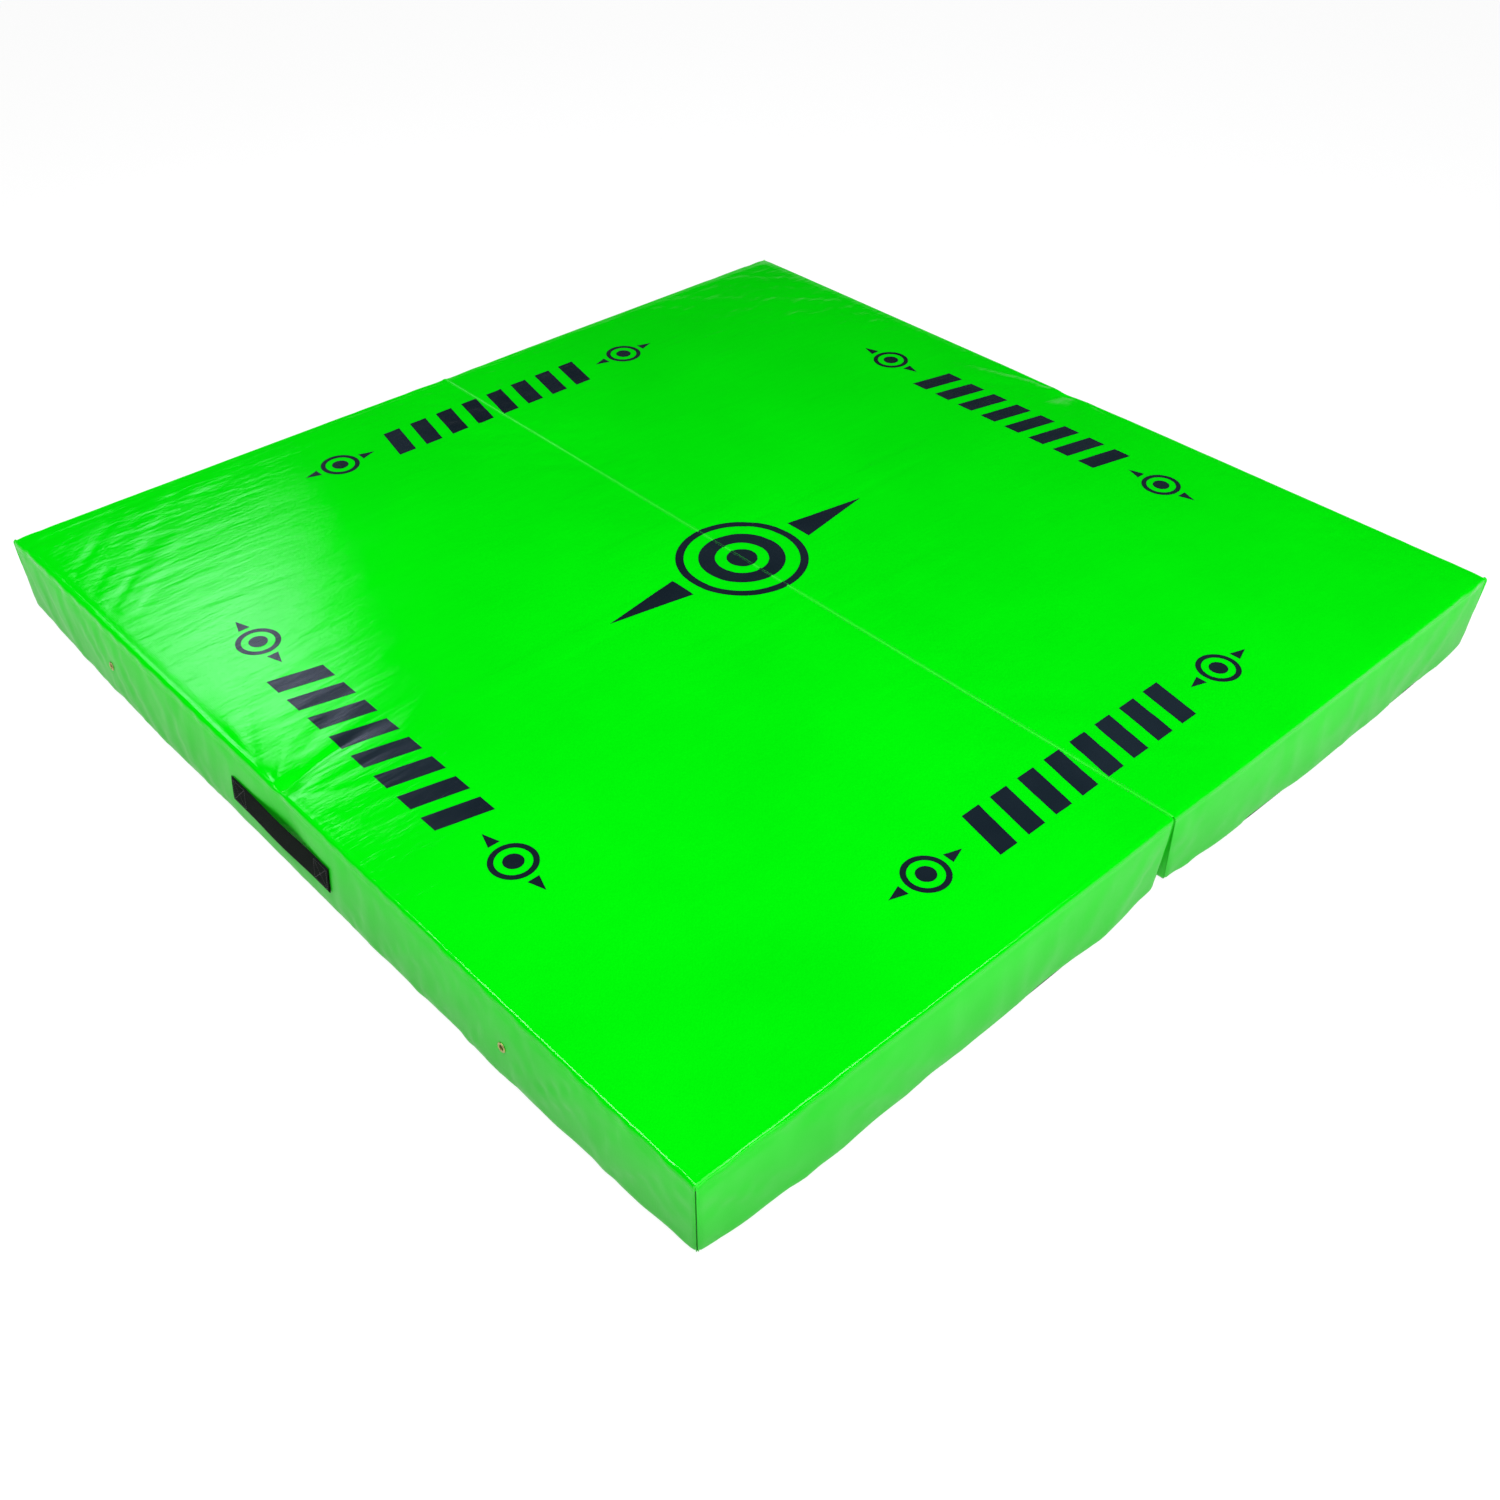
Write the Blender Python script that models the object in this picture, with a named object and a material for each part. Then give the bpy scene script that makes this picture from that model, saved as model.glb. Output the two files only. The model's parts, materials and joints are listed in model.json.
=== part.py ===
"""Folding crash landing mat: two foam panels in zipped covers, hinged along the top fold line.

Frame: origin at the bottom centre, +Z up. The fold line runs along Y at x = 0. Panel a lies at x < 0 and panel b at
x > 0. The zipped end walls are at y = +1 m, and the carry handles are on the outer walls at x = -1 m and x = +1 m.
"""

import math

import bmesh
import bpy
from mathutils import Matrix, Vector

# Driving dimensions, in metres
SIDE = 2.0
THICK = 0.15
COVER_T = 0.001
BASE_T = 0.0012
CLEAR = 0.0003
FIT = 0.0006

HALF = SIDE / 2
HEM_Z = BASE_T + CLEAR
HEM_TUCK = 0.003
HEM_TOP_Z = 0.011
EDGE_R = 0.009
EDGE_STEPS = 3

# How far the foam pushes each wall out at mid-length
OUTER_BULGE = 0.016
END_BULGE = 0.012
BULGE_POWER = 4

# The V-shaped slit between the panels, measured from the fold plane to one inner wall
SLIT_TOP = 0.0012
SLIT_BOTTOM = 0.012
HINGE_Z = THICK + 0.0012

FOAM_SIDE_GAP = 0.004
FOAM_TOP_GAP = 0.0013
FOAM_Z = 0.002

WALL_SEGMENTS_END = 8
WALL_SEGMENTS_OUTER = 16

# Corner and fold welts
WELT_R = 0.0013
WELT_SIDES = 8
FOLD_WELT_W = 0.0032
FOLD_WELT_H = 0.0006

# Carry handle: webbing sewn flat at both ends, standing off the wall between them
HANDLE_Z = 0.07
HANDLE_L = 0.30
HANDLE_W = 0.052
HANDLE_T = 0.0022
HANDLE_SEWN = 0.045
HANDLE_STANDOFF = 0.014
HANDLE_CLEAR = 0.0008
HANDLE_SEGMENTS = 18
PATCH_MARGIN = 0.012
PATCH_T = 0.0008

# Vent eyelets
EYELET_Y = 0.60
EYELET_Z = 0.07
EYELET_HOLE_R = 0.0045
EYELET_BARREL_R = 0.0055
EYELET_FLANGE_R = 0.0085
EYELET_CUT_R = 0.0062
EYELET_FLANGE_T = 0.0009
EYELET_DEPTH = 0.0029
WASHER_T = 0.0006
ROUND_SIDES = 20

# Zip in the wall at y = +HALF
ZIP_Z = 0.040
ZIP_BAND = (0.022, 0.058)
ZIP_X0 = 0.10
ZIP_X1 = 0.90
ZIP_SLOT_HALF = 0.007
TAPE_W = 0.0165
TAPE_T = 0.0008
TAPE_OVERRUN = 0.015
COIL_GAP = 0.0008
COIL_W = 0.0034
COIL_T = 0.003
STOP_L = 0.003
STOP_T = 0.001
STOP_INSET = 0.0045
SLIDER_X = 0.885
SLIDER_L = 0.014
SLIDER_PLATE_T = 0.0012
SLIDER_HALF_W = 0.0057
SLIDER_FLANGE_T = 0.0009
SLIDER_POST_HALF = 0.0005
SLIDER_BACK_T = 0.0008
LUG_X = 0.0016
LUG_Z = (0.0022, 0.0030)
LUG_H = 0.0035
PIN_R = 0.0006
PIN_H = 0.0022
EYE_R = (0.00095, 0.00175)
EYE_HALF_W = 0.0019
PULL_L = 0.026
PULL_HALF_W = 0.0032
PULL_T = 0.0012
PULL_NECK = 0.0026

WALL_Z = (HEM_Z, HEM_TOP_Z, *ZIP_BAND, 0.088, 0.116, THICK - EDGE_R)


def clear_scene():
    for obj in list(bpy.data.objects):
        bpy.data.objects.remove(obj, do_unlink=True)


def material(name, colour, roughness, metallic=0.0):
    mat = bpy.data.materials.new(name)
    mat.use_nodes = True
    shader = mat.node_tree.nodes["Principled BSDF"]
    shader.inputs["Base Color"].default_value = (*colour, 1.0)
    shader.inputs["Roughness"].default_value = roughness
    shader.inputs["Metallic"].default_value = metallic
    return mat


def make_materials():
    return {
        "pvc": material("green_pvc", (0.0, 0.72, 0.02), 0.30),
        "base": material("black_base", (0.02, 0.02, 0.022), 0.65),
        "foam": material("foam", (0.80, 0.78, 0.66), 0.95),
        "webbing": material("black_webbing", (0.015, 0.016, 0.02), 0.80),
        "brass": material("brass", (0.70, 0.52, 0.22), 0.30, 1.0),
        "tape": material("zip_tape", (0.02, 0.02, 0.022), 0.85),
        "coil": material("zip_coil", (0.03, 0.03, 0.033), 0.45),
        "zip_metal": material("zip_metal", (0.55, 0.55, 0.57), 0.30, 1.0),
    }


def empty(name, location):
    obj = bpy.data.objects.new(name, None)
    obj.location = location
    bpy.context.scene.collection.objects.link(obj)
    return obj


def finish(name, bm, mat, parent, origin=None):
    """Turns a mesh built in world coordinates into a named object under its parent, with the given origin."""
    origin = Vector(origin) if origin is not None else parent.matrix_world.translation.copy()
    bmesh.ops.recalc_face_normals(bm, faces=bm.faces[:])
    bmesh.ops.translate(bm, verts=bm.verts[:], vec=-origin)
    mesh = bpy.data.meshes.new(name)
    bm.to_mesh(mesh)
    bm.free()
    mesh.materials.append(mat)
    mesh.shade_smooth()
    mesh.set_sharp_from_angle(angle=math.radians(30))
    obj = bpy.data.objects.new(name, mesh)
    bpy.context.scene.collection.objects.link(obj)
    obj.parent = parent
    obj.location = origin - parent.matrix_world.translation
    bpy.context.view_layer.update()
    return obj


def cut(obj, cutter):
    """Takes the cutter's shape away from obj, and keeps the cutter out of the model."""
    cutter.hide_render = True
    cutter.display_type = "WIRE"
    boolean = obj.modifiers.new("cut_" + cutter.name, "BOOLEAN")
    boolean.operation = "DIFFERENCE"
    boolean.object = cutter


# ---- the shape of a panel ----


def length_profile(t):
    """How much of the full bulge shows at t along a wall, from -1 to 1."""
    return 1 - abs(t) ** BULGE_POWER


def height_profile(z):
    """The walls lean out towards the floor: no bulge at the top, all of it at the bottom."""
    return 1 - (z / THICK) ** 2


def far_profile(z):
    """The zip holds its wall straight, so this wall bulges only above the zip."""
    if z <= ZIP_BAND[1]:
        return 0.0
    return math.sin(math.pi * (z - ZIP_BAND[1]) / (THICK - ZIP_BAND[1]))


def outer_wall(y, z):
    """Distance from the fold plane to the outer face of the outer wall."""
    return HALF + OUTER_BULGE * length_profile(y / HALF) * height_profile(z)


def slit(z):
    """Distance from the fold plane to the inner wall."""
    return SLIT_TOP + (SLIT_BOTTOM - SLIT_TOP) * (1 - z / THICK)


def along_end(u, z):
    """Where u, the distance from the fold plane, lies along an end wall, from -1 at the slit to 1."""
    return 2 * (u - slit(z)) / (HALF - slit(z)) - 1


def near_wall(u, z):
    """How far the wall at -y stands from the mid plane, at distance u from the fold plane."""
    return HALF + END_BULGE * length_profile(along_end(u, z)) * height_profile(z)


def far_wall(u, z):
    """How far the zipped wall at +y stands from the mid plane, at distance u from the fold plane."""
    return HALF + END_BULGE * length_profile(along_end(u, z)) * far_profile(z)


def outline(side, z, inset, fold_inset=0.0):
    """Plan points of a panel at height z: from the fold's near end round the outer wall to the fold's far end."""
    near_x = slit(z) + fold_inset
    span = HALF - inset - near_x
    points = []
    for i in range(WALL_SEGMENTS_END):
        u = near_x + span * i / WALL_SEGMENTS_END
        points.append((side * u, -near_wall(u, z) + inset, z))
    for i in range(WALL_SEGMENTS_OUTER):
        y = (HALF - inset) * (2 * i / WALL_SEGMENTS_OUTER - 1)
        points.append((side * (outer_wall(y, z) - inset), y, z))
    for i in range(WALL_SEGMENTS_END + 1):
        u = HALF - inset - span * i / WALL_SEGMENTS_END
        points.append((side * u, far_wall(u, z) - inset, z))
    return points


def panel_rings(side, depth, top_depth, bottom_z, fold_inset=0.0):
    """Outlines from the hem up and over the rounded top edge, for a surface this deep inside the cover."""
    rings = [outline(side, bottom_z, depth + HEM_TUCK, fold_inset)]
    rings += [outline(side, z, depth, fold_inset) for z in WALL_Z[1:]]
    for step in range(1, EDGE_STEPS + 1):
        angle = math.pi / 2 * step / EDGE_STEPS
        z = THICK - EDGE_R + (EDGE_R - top_depth) * math.sin(angle)
        inset = depth + (EDGE_R - depth) * (1 - math.cos(angle))
        rings.append(outline(side, z, inset, fold_inset))
    return rings


def add_rings(bm, rings):
    return [[bm.verts.new(point) for point in ring] for ring in rings]


def skin(bm, rings):
    """Quads between open rings, and one face across the top."""
    for low, high in zip(rings, rings[1:]):
        for i in range(len(low) - 1):
            bm.faces.new((low[i], low[i + 1], high[i + 1], high[i]))
    bm.faces.new(rings[-1])


def make_cover(side, tag, mat, parent):
    """The box-cut top and three walls as one shell, open underneath and along the fold."""
    bm = bmesh.new()
    outside = add_rings(bm, panel_rings(side, 0.0, 0.0, HEM_Z))
    inside = add_rings(bm, panel_rings(side, COVER_T, COVER_T, HEM_Z))
    skin(bm, outside)
    skin(bm, inside)
    for i in range(len(outside[0]) - 1):
        bm.faces.new((outside[0][i], outside[0][i + 1], inside[0][i + 1], inside[0][i]))
    for end in (0, -1):
        for low_out, high_out, low_in, high_in in zip(outside, outside[1:], inside, inside[1:]):
            bm.faces.new((low_out[end], high_out[end], high_in[end], low_in[end]))
    bm.faces.new((outside[-1][0], outside[-1][-1], inside[-1][-1], inside[-1][0]))
    return finish("cover_shell_" + tag, bm, mat, parent)


def make_foam(side, tag, mat, parent):
    bm = bmesh.new()
    rings = add_rings(bm, panel_rings(side, FOAM_SIDE_GAP, FOAM_TOP_GAP, FOAM_Z, FOAM_SIDE_GAP))
    skin(bm, rings)
    bm.faces.new(rings[0])
    for low, high in zip(rings, rings[1:]):
        bm.faces.new((low[0], low[-1], high[-1], high[0]))
    return finish("foam_core_" + tag, bm, mat, parent)


def make_base(side, tag, mat, parent):
    bm = bmesh.new()
    levels = add_rings(bm, [outline(side, z, HEM_TUCK) for z in (0.0, BASE_T)])
    for level in levels:
        bm.faces.new(level)
    low, high = levels
    for i in range(len(low)):
        bm.faces.new((low[i - 1], low[i], high[i], high[i - 1]))
    return finish("base_sheet_" + tag, bm, mat, parent)


def make_inner_wall(side, tag, mat, parent):
    """The wall that faces the slit, sewn between the end walls and under the top sheet."""
    top = THICK - COVER_T - CLEAR
    reach = HALF - COVER_T - HEM_TUCK - CLEAR
    upper_reach = HALF - COVER_T - EDGE_R
    bm = bmesh.new()
    faces = []
    for depth in (0.0, COVER_T):
        corners = ((-reach, HEM_Z), (reach, HEM_Z), (reach, THICK - EDGE_R - CLEAR), (upper_reach, top))
        corners += ((-upper_reach, top), (-reach, THICK - EDGE_R - CLEAR))
        faces.append([bm.verts.new((side * (slit(z) + depth), y, z)) for y, z in corners])
    for face in faces:
        bm.faces.new(face)
    front, back = faces
    for i in range(len(front)):
        bm.faces.new((front[i - 1], front[i], back[i], back[i - 1]))
    return finish("inner_wall_" + tag, bm, mat, parent)


# ---- seams ----


def add_prism(bm, start, end, radius, sides):
    """A rod with flat ends between two points."""
    start, end = Vector(start), Vector(end)
    turn = (end - start).to_track_quat("Z", "Y").to_matrix().to_4x4()
    rod = bmesh.ops.create_cone(
        bm,
        cap_ends=True,
        segments=sides,
        radius1=radius,
        radius2=radius,
        depth=(end - start).length,
        matrix=Matrix.Translation((start + end) / 2) @ turn,
    )
    return rod["verts"]


def make_corner_welts(side, tag, mat, parent):
    """The raised seam ridge down each of a panel's four vertical corners."""
    low, high = HEM_TOP_Z, THICK - EDGE_R
    reach = (WELT_R + CLEAR) / math.sqrt(2)
    for y_sign, name in ((-1, "near"), (1, "far")):
        bm = bmesh.new()
        x, y = side * (HALF + reach), y_sign * (HALF + reach)
        add_prism(bm, (x, y, low), (x, y, high), WELT_R, WELT_SIDES)
        finish(f"outer_{name}_corner_welt_{tag}", bm, mat, parent)
        bm = bmesh.new()
        y = y_sign * (HALF + FIT + WELT_R)
        ends = [(side * (slit(z) + 2 * WELT_R), y, z) for z in (low, high)]
        add_prism(bm, *ends, WELT_R, WELT_SIDES)
        finish(f"inner_{name}_corner_welt_{tag}", bm, mat, parent)


def add_box(bm, low, high):
    """A box between two opposite corners."""
    low, high = Vector(low), Vector(high)
    size = high - low
    place = Matrix.Translation((low + high) / 2) @ Matrix.Diagonal((*size, 1.0))
    return bmesh.ops.create_cube(bm, size=1.0, matrix=place)["verts"]


def make_box(name, low, high, mat, parent):
    bm = bmesh.new()
    add_box(bm, low, high)
    return finish(name, bm, mat, parent)


def make_fold_welt(side, tag, mat, parent):
    """This panel's half of the sewn seam on which the mat folds."""
    xs = sorted((side * CLEAR, side * (CLEAR + FOLD_WELT_W)))
    reach = HALF - EDGE_R
    low = THICK + CLEAR
    make_box("fold_welt_" + tag, (xs[0], -reach, low), (xs[1], reach, low + FOLD_WELT_H), mat, parent)


# ---- carry handle ----


def handle_standoff(y):
    """How far the webbing's back stands off the wall."""
    free = HANDLE_L / 2 - HANDLE_SEWN
    if abs(y) >= free:
        return HANDLE_CLEAR
    return HANDLE_CLEAR + HANDLE_STANDOFF * math.cos(math.pi / 2 * y / free) ** 2


def make_strip(name, side, half_length, half_width, segments, back, thickness, mat, parent):
    """A strip that follows the outer wall. back(y) is its back's distance outside the wall."""
    bm = bmesh.new()
    sections = []
    for i in range(segments + 1):
        y = half_length * (2 * i / segments - 1)
        section = []
        for lift, z_sign in ((0.0, -1), (0.0, 1), (thickness, 1), (thickness, -1)):
            z = HANDLE_Z + z_sign * half_width
            section.append(bm.verts.new((side * (outer_wall(y, z) + back(y) + lift), y, z)))
        sections.append(section)
    for first, second in zip(sections, sections[1:]):
        for i in range(4):
            bm.faces.new((first[i - 1], first[i], second[i], second[i - 1]))
    bm.faces.new(sections[0])
    bm.faces.new(sections[-1])
    return finish(name, bm, mat, parent)


def make_handle(side, tag, mats, parent):
    name = "carry_handle_" + tag
    size = (HANDLE_L / 2, HANDLE_W / 2)
    make_strip(name, side, *size, HANDLE_SEGMENTS, handle_standoff, HANDLE_T, mats["webbing"], parent)
    size = [value + PATCH_MARGIN for value in size]
    depth = COVER_T + FIT + PATCH_T

    def patch_back(_):
        return -depth

    make_strip("handle_patch_" + tag, side, *size, 4, patch_back, PATCH_T, mats["pvc"], parent)


# ---- vent eyelets ----


def wall_place(side, y, z):
    """A matrix at a point on the outer wall, with its Z axis along the wall's outward normal."""
    step = 0.001
    lean_y = (outer_wall(y + step, z) - outer_wall(y - step, z)) / (2 * step)
    lean_z = (outer_wall(y, z + step) - outer_wall(y, z - step)) / (2 * step)
    normal = Vector((side, -lean_y, -lean_z)).normalized()
    turn = normal.to_track_quat("Z", "Y").to_matrix().to_4x4()
    return Matrix.Translation((side * outer_wall(y, z), y, z)) @ turn


def make_turned(name, profile, place, mat, parent):
    """A ring turned from a closed profile of (radius, height) points about the place's Z axis."""
    bm = bmesh.new()
    loops = []
    for i in range(ROUND_SIDES):
        angle = 2 * math.pi * i / ROUND_SIDES
        turn = Vector((math.cos(angle), math.sin(angle)))
        loops.append([bm.verts.new(place @ Vector((*(turn * r), h))) for r, h in profile])
    for i, loop in enumerate(loops):
        for j in range(len(profile)):
            bm.faces.new((loops[i - 1][j - 1], loop[j - 1], loop[j], loops[i - 1][j]))
    return finish(name, bm, mat, parent)


def make_eyelet(side, tag, y, name, mats, parent, cover):
    place = wall_place(side, y, EYELET_Z)
    flange = FIT + EYELET_FLANGE_T
    profile = (
        (EYELET_HOLE_R, -EYELET_DEPTH),
        (EYELET_BARREL_R, -EYELET_DEPTH),
        (EYELET_BARREL_R, FIT),
        (EYELET_FLANGE_R, FIT),
        (EYELET_FLANGE_R - FIT, flange),
        (EYELET_BARREL_R, flange + CLEAR),
        (EYELET_HOLE_R, flange - CLEAR),
    )
    make_turned(f"vent_eyelet_{name}_{tag}", profile, place, mats["brass"], parent)
    low = -COVER_T - FIT - WASHER_T
    washer = ((EYELET_CUT_R, low), (EYELET_FLANGE_R, low), (EYELET_FLANGE_R, low + WASHER_T))
    washer += ((EYELET_CUT_R, low + WASHER_T),)
    make_turned(f"eyelet_washer_{name}_{tag}", washer, place, mats["brass"], parent)
    bm = bmesh.new()
    start, end = (place @ Vector((0, 0, h)) for h in (-0.01, 0.01))
    add_prism(bm, start, end, EYELET_CUT_R, ROUND_SIDES)
    cut(cover, finish(f"eyelet_cutter_{name}_{tag}", bm, mats["brass"], parent))


# ---- zip ----

TAPE_BACK = HALF - COVER_T - CLEAR - TAPE_T
COIL_BACK = HALF - COVER_T - CLEAR + CLEAR
COIL_FRONT = COIL_BACK + COIL_T
PLATE_BACK = COIL_FRONT + CLEAR
PLATE_FRONT = PLATE_BACK + SLIDER_PLATE_T
PIN_Y = PLATE_FRONT + PIN_H


def x_range(side, first, last):
    return sorted((side * first, side * last))


def make_tapes(side, tag, mat, parent):
    xs = x_range(side, ZIP_X0 - TAPE_OVERRUN, ZIP_X1 + TAPE_OVERRUN)
    for z_sign, name in ((1, "upper"), (-1, "lower")):
        zs = sorted((ZIP_Z + z_sign * COIL_GAP, ZIP_Z + z_sign * (COIL_GAP + TAPE_W)))
        low = (xs[0], TAPE_BACK, zs[0])
        high = (xs[1], TAPE_BACK + TAPE_T, zs[1])
        make_box(f"zip_tape_{name}_{tag}", low, high, mat, parent)


def make_coils(side, tag, mat, parent):
    """Each coil is a bar with its outer front corner taken off."""
    xs = x_range(side, ZIP_X0, ZIP_X1)
    chamfer = COIL_T / 3
    for z_sign, name in ((1, "upper"), (-1, "lower")):
        profile = ((0.0, COIL_BACK), (COIL_W, COIL_BACK), (COIL_W, COIL_FRONT - chamfer))
        profile += ((COIL_W - chamfer, COIL_FRONT), (0.0, COIL_FRONT))
        bm = bmesh.new()
        ends = []
        for x in xs:
            ends.append([bm.verts.new((x, y, ZIP_Z + z_sign * (COIL_GAP + w))) for w, y in profile])
        first, second = ends
        bm.faces.new(first)
        bm.faces.new(second)
        for i in range(len(profile)):
            bm.faces.new((first[i - 1], first[i], second[i], second[i - 1]))
        finish(f"zip_coil_{name}_{tag}", bm, mat, parent)


def make_stops(side, tag, mat, parent):
    half = COIL_GAP + COIL_W + CLEAR
    for name, x in (("fold", ZIP_X0 + STOP_INSET), ("outer", ZIP_X1 - STOP_INSET)):
        xs = x_range(side, x - STOP_L / 2, x + STOP_L / 2)
        low = (xs[0], PLATE_BACK, ZIP_Z - half)
        high = (xs[1], PLATE_BACK + STOP_T, ZIP_Z + half)
        make_box(f"zip_{name}_stop_{tag}", low, high, mat, parent)


def join(obj, other):
    """Welds other's shape to obj, and keeps other out of the model."""
    other.hide_render = True
    other.display_type = "WIRE"
    boolean = obj.modifiers.new("join_" + other.name, "BOOLEAN")
    boolean.operation = "UNION"
    boolean.object = other


def make_slider(side, tag, mat, parent):
    """Front plate with side flanges, a post between the coils, a back plate, and two lugs with the pull's pin."""
    place = Vector((side * SLIDER_X, PLATE_FRONT, ZIP_Z))
    flange_foot = COIL_BACK + CLEAR
    inner = SLIDER_HALF_W - SLIDER_FLANGE_T
    back = TAPE_BACK - CLEAR
    half_back = SLIDER_HALF_W - CLEAR
    right = (
        (SLIDER_HALF_W, PLATE_FRONT),
        (SLIDER_HALF_W, flange_foot),
        (inner, flange_foot),
        (inner, PLATE_BACK),
        (SLIDER_POST_HALF, PLATE_BACK),
        (SLIDER_POST_HALF, back),
        (half_back, back),
        (half_back, back - SLIDER_BACK_T),
    )
    profile = right + tuple((-w, y) for w, y in reversed(right))
    bm = bmesh.new()
    ends = []
    for x in (place.x - SLIDER_L / 2, place.x + SLIDER_L / 2):
        ends.append([bm.verts.new((x, y, ZIP_Z + w)) for w, y in profile])
    first, second = ends
    bm.faces.new(first)
    bm.faces.new(second)
    for i in range(len(profile)):
        bm.faces.new((first[i - 1], first[i], second[i], second[i - 1]))
    slider = finish("zip_slider_" + tag, bm, mat, parent, place)
    for z_sign, name in ((1, "upper"), (-1, "lower")):
        zs = sorted(ZIP_Z + z_sign * z for z in LUG_Z)
        bm = bmesh.new()
        add_box(bm, (place.x - LUG_X, PLATE_BACK + CLEAR, zs[0]), (place.x + LUG_X, PLATE_FRONT + LUG_H, zs[1]))
        join(slider, finish(f"slider_lug_{name}_{tag}", bm, mat, parent))
    bm = bmesh.new()
    reach = (LUG_Z[0] + LUG_Z[1]) / 2
    add_prism(bm, (place.x, PIN_Y, ZIP_Z - reach), (place.x, PIN_Y, ZIP_Z + reach), PIN_R, WELT_SIDES)
    join(slider, finish("slider_pin_" + tag, bm, mat, parent))
    return slider


def make_pull(side, tag, mat, slider):
    """A tab on an eye round the slider's pin, lying along the zip towards the fold."""
    pin = Vector((side * SLIDER_X, PIN_Y, ZIP_Z))
    inner, outer = EYE_R
    bm = bmesh.new()
    ends = []
    for z in (ZIP_Z - EYE_HALF_W, ZIP_Z + EYE_HALF_W):
        for radius in (inner, outer):
            circle = []
            for i in range(ROUND_SIDES):
                angle = 2 * math.pi * i / ROUND_SIDES
                circle.append(bm.verts.new((pin.x + radius * math.cos(angle), pin.y + radius * math.sin(angle), z)))
            ends.append(circle)
    low_in, low_out, high_in, high_out = ends
    for i in range(ROUND_SIDES):
        for first, second in ((low_in, low_out), (low_out, high_out), (high_out, high_in), (high_in, low_in)):
            bm.faces.new((first[i - 1], first[i], second[i], second[i - 1]))
    pull = finish("zip_pull_" + tag, bm, mat, slider, pin)
    neck = (inner + outer) / 2
    pieces = (("neck", neck, PULL_NECK + neck, EYE_HALF_W), ("tab", PULL_NECK, PULL_L, PULL_HALF_W))
    for name, start, end, half_width in pieces:
        xs = sorted((pin.x - side * start, pin.x - side * end))
        bm = bmesh.new()
        low = (xs[0], pin.y - PULL_T / 2, ZIP_Z - half_width)
        high = (xs[1], pin.y + PULL_T / 2, ZIP_Z + half_width)
        add_box(bm, low, high)
        join(pull, finish(f"pull_{name}_{tag}", bm, mat, slider))
    return pull


def make_zip(side, tag, mats, parent, cover):
    xs = x_range(side, ZIP_X0, ZIP_X1)
    low = (xs[0], HALF - 0.01, ZIP_Z - ZIP_SLOT_HALF)
    high = (xs[1], HALF + 0.01, ZIP_Z + ZIP_SLOT_HALF)
    cut(cover, make_box("zip_slot_cutter_" + tag, low, high, mats["pvc"], parent))
    make_tapes(side, tag, mats["tape"], parent)
    make_coils(side, tag, mats["coil"], parent)
    make_stops(side, tag, mats["zip_metal"], parent)
    slider = make_slider(side, tag, mats["zip_metal"], parent)
    make_pull(side, tag, mats["zip_metal"], slider)


# ---- whole mat ----


def make_panel(side, tag, mats, parent):
    cover = make_cover(side, tag, mats["pvc"], parent)
    make_foam(side, tag, mats["foam"], parent)
    make_base(side, tag, mats["base"], parent)
    make_inner_wall(side, tag, mats["pvc"], parent)
    make_corner_welts(side, tag, mats["pvc"], parent)
    make_fold_welt(side, tag, mats["pvc"], parent)
    make_handle(side, tag, mats, parent)
    for y, name in ((-EYELET_Y, "near"), (EYELET_Y, "far")):
        make_eyelet(side, tag, y, name, mats, parent, cover)
    make_zip(side, tag, mats, parent, cover)


def main():
    clear_scene()
    mats = make_materials()
    panel_a = empty("panel_a", (0, 0, 0))
    panel_b = empty("panel_b_fold_axis", (0, 0, HINGE_Z))
    bpy.context.view_layer.update()
    make_panel(-1, "a", mats, panel_a)
    make_panel(1, "b", mats, panel_b)


main()
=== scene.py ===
import json
import math

import bmesh
import bpy
import numpy as np
from mathutils import Matrix, Vector

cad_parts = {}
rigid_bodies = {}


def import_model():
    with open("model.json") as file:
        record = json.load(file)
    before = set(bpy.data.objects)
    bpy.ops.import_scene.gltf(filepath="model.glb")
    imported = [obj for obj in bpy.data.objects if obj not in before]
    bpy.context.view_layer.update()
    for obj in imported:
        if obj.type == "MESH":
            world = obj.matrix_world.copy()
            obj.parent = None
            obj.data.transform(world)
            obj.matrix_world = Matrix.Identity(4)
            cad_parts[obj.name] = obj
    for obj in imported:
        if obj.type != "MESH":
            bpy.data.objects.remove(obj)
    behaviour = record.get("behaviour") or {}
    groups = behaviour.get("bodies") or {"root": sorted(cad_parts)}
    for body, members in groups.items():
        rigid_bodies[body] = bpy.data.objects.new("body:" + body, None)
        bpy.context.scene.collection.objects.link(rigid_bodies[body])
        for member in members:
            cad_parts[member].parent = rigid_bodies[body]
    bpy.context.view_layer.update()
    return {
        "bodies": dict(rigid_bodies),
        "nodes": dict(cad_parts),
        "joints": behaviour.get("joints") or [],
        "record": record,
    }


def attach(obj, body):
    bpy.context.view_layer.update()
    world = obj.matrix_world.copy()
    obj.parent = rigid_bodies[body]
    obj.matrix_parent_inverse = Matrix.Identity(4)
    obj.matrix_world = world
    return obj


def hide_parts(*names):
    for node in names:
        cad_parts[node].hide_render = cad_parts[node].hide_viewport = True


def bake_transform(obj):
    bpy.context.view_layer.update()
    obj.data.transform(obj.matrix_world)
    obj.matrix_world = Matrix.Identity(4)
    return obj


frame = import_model()

# ---- sizes, in metres; those of the frame repeat part.py's ----

HALF = 1.0
THICK = 0.15
COVER_T = 0.001
HEM_Z = 0.0015
EDGE_R = 0.009
OUTER_BULGE = 0.016
END_BULGE = 0.012
BULGE_POWER = 4
SLIT_TOP = 0.0012
SLIT_BOTTOM = 0.012

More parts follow.
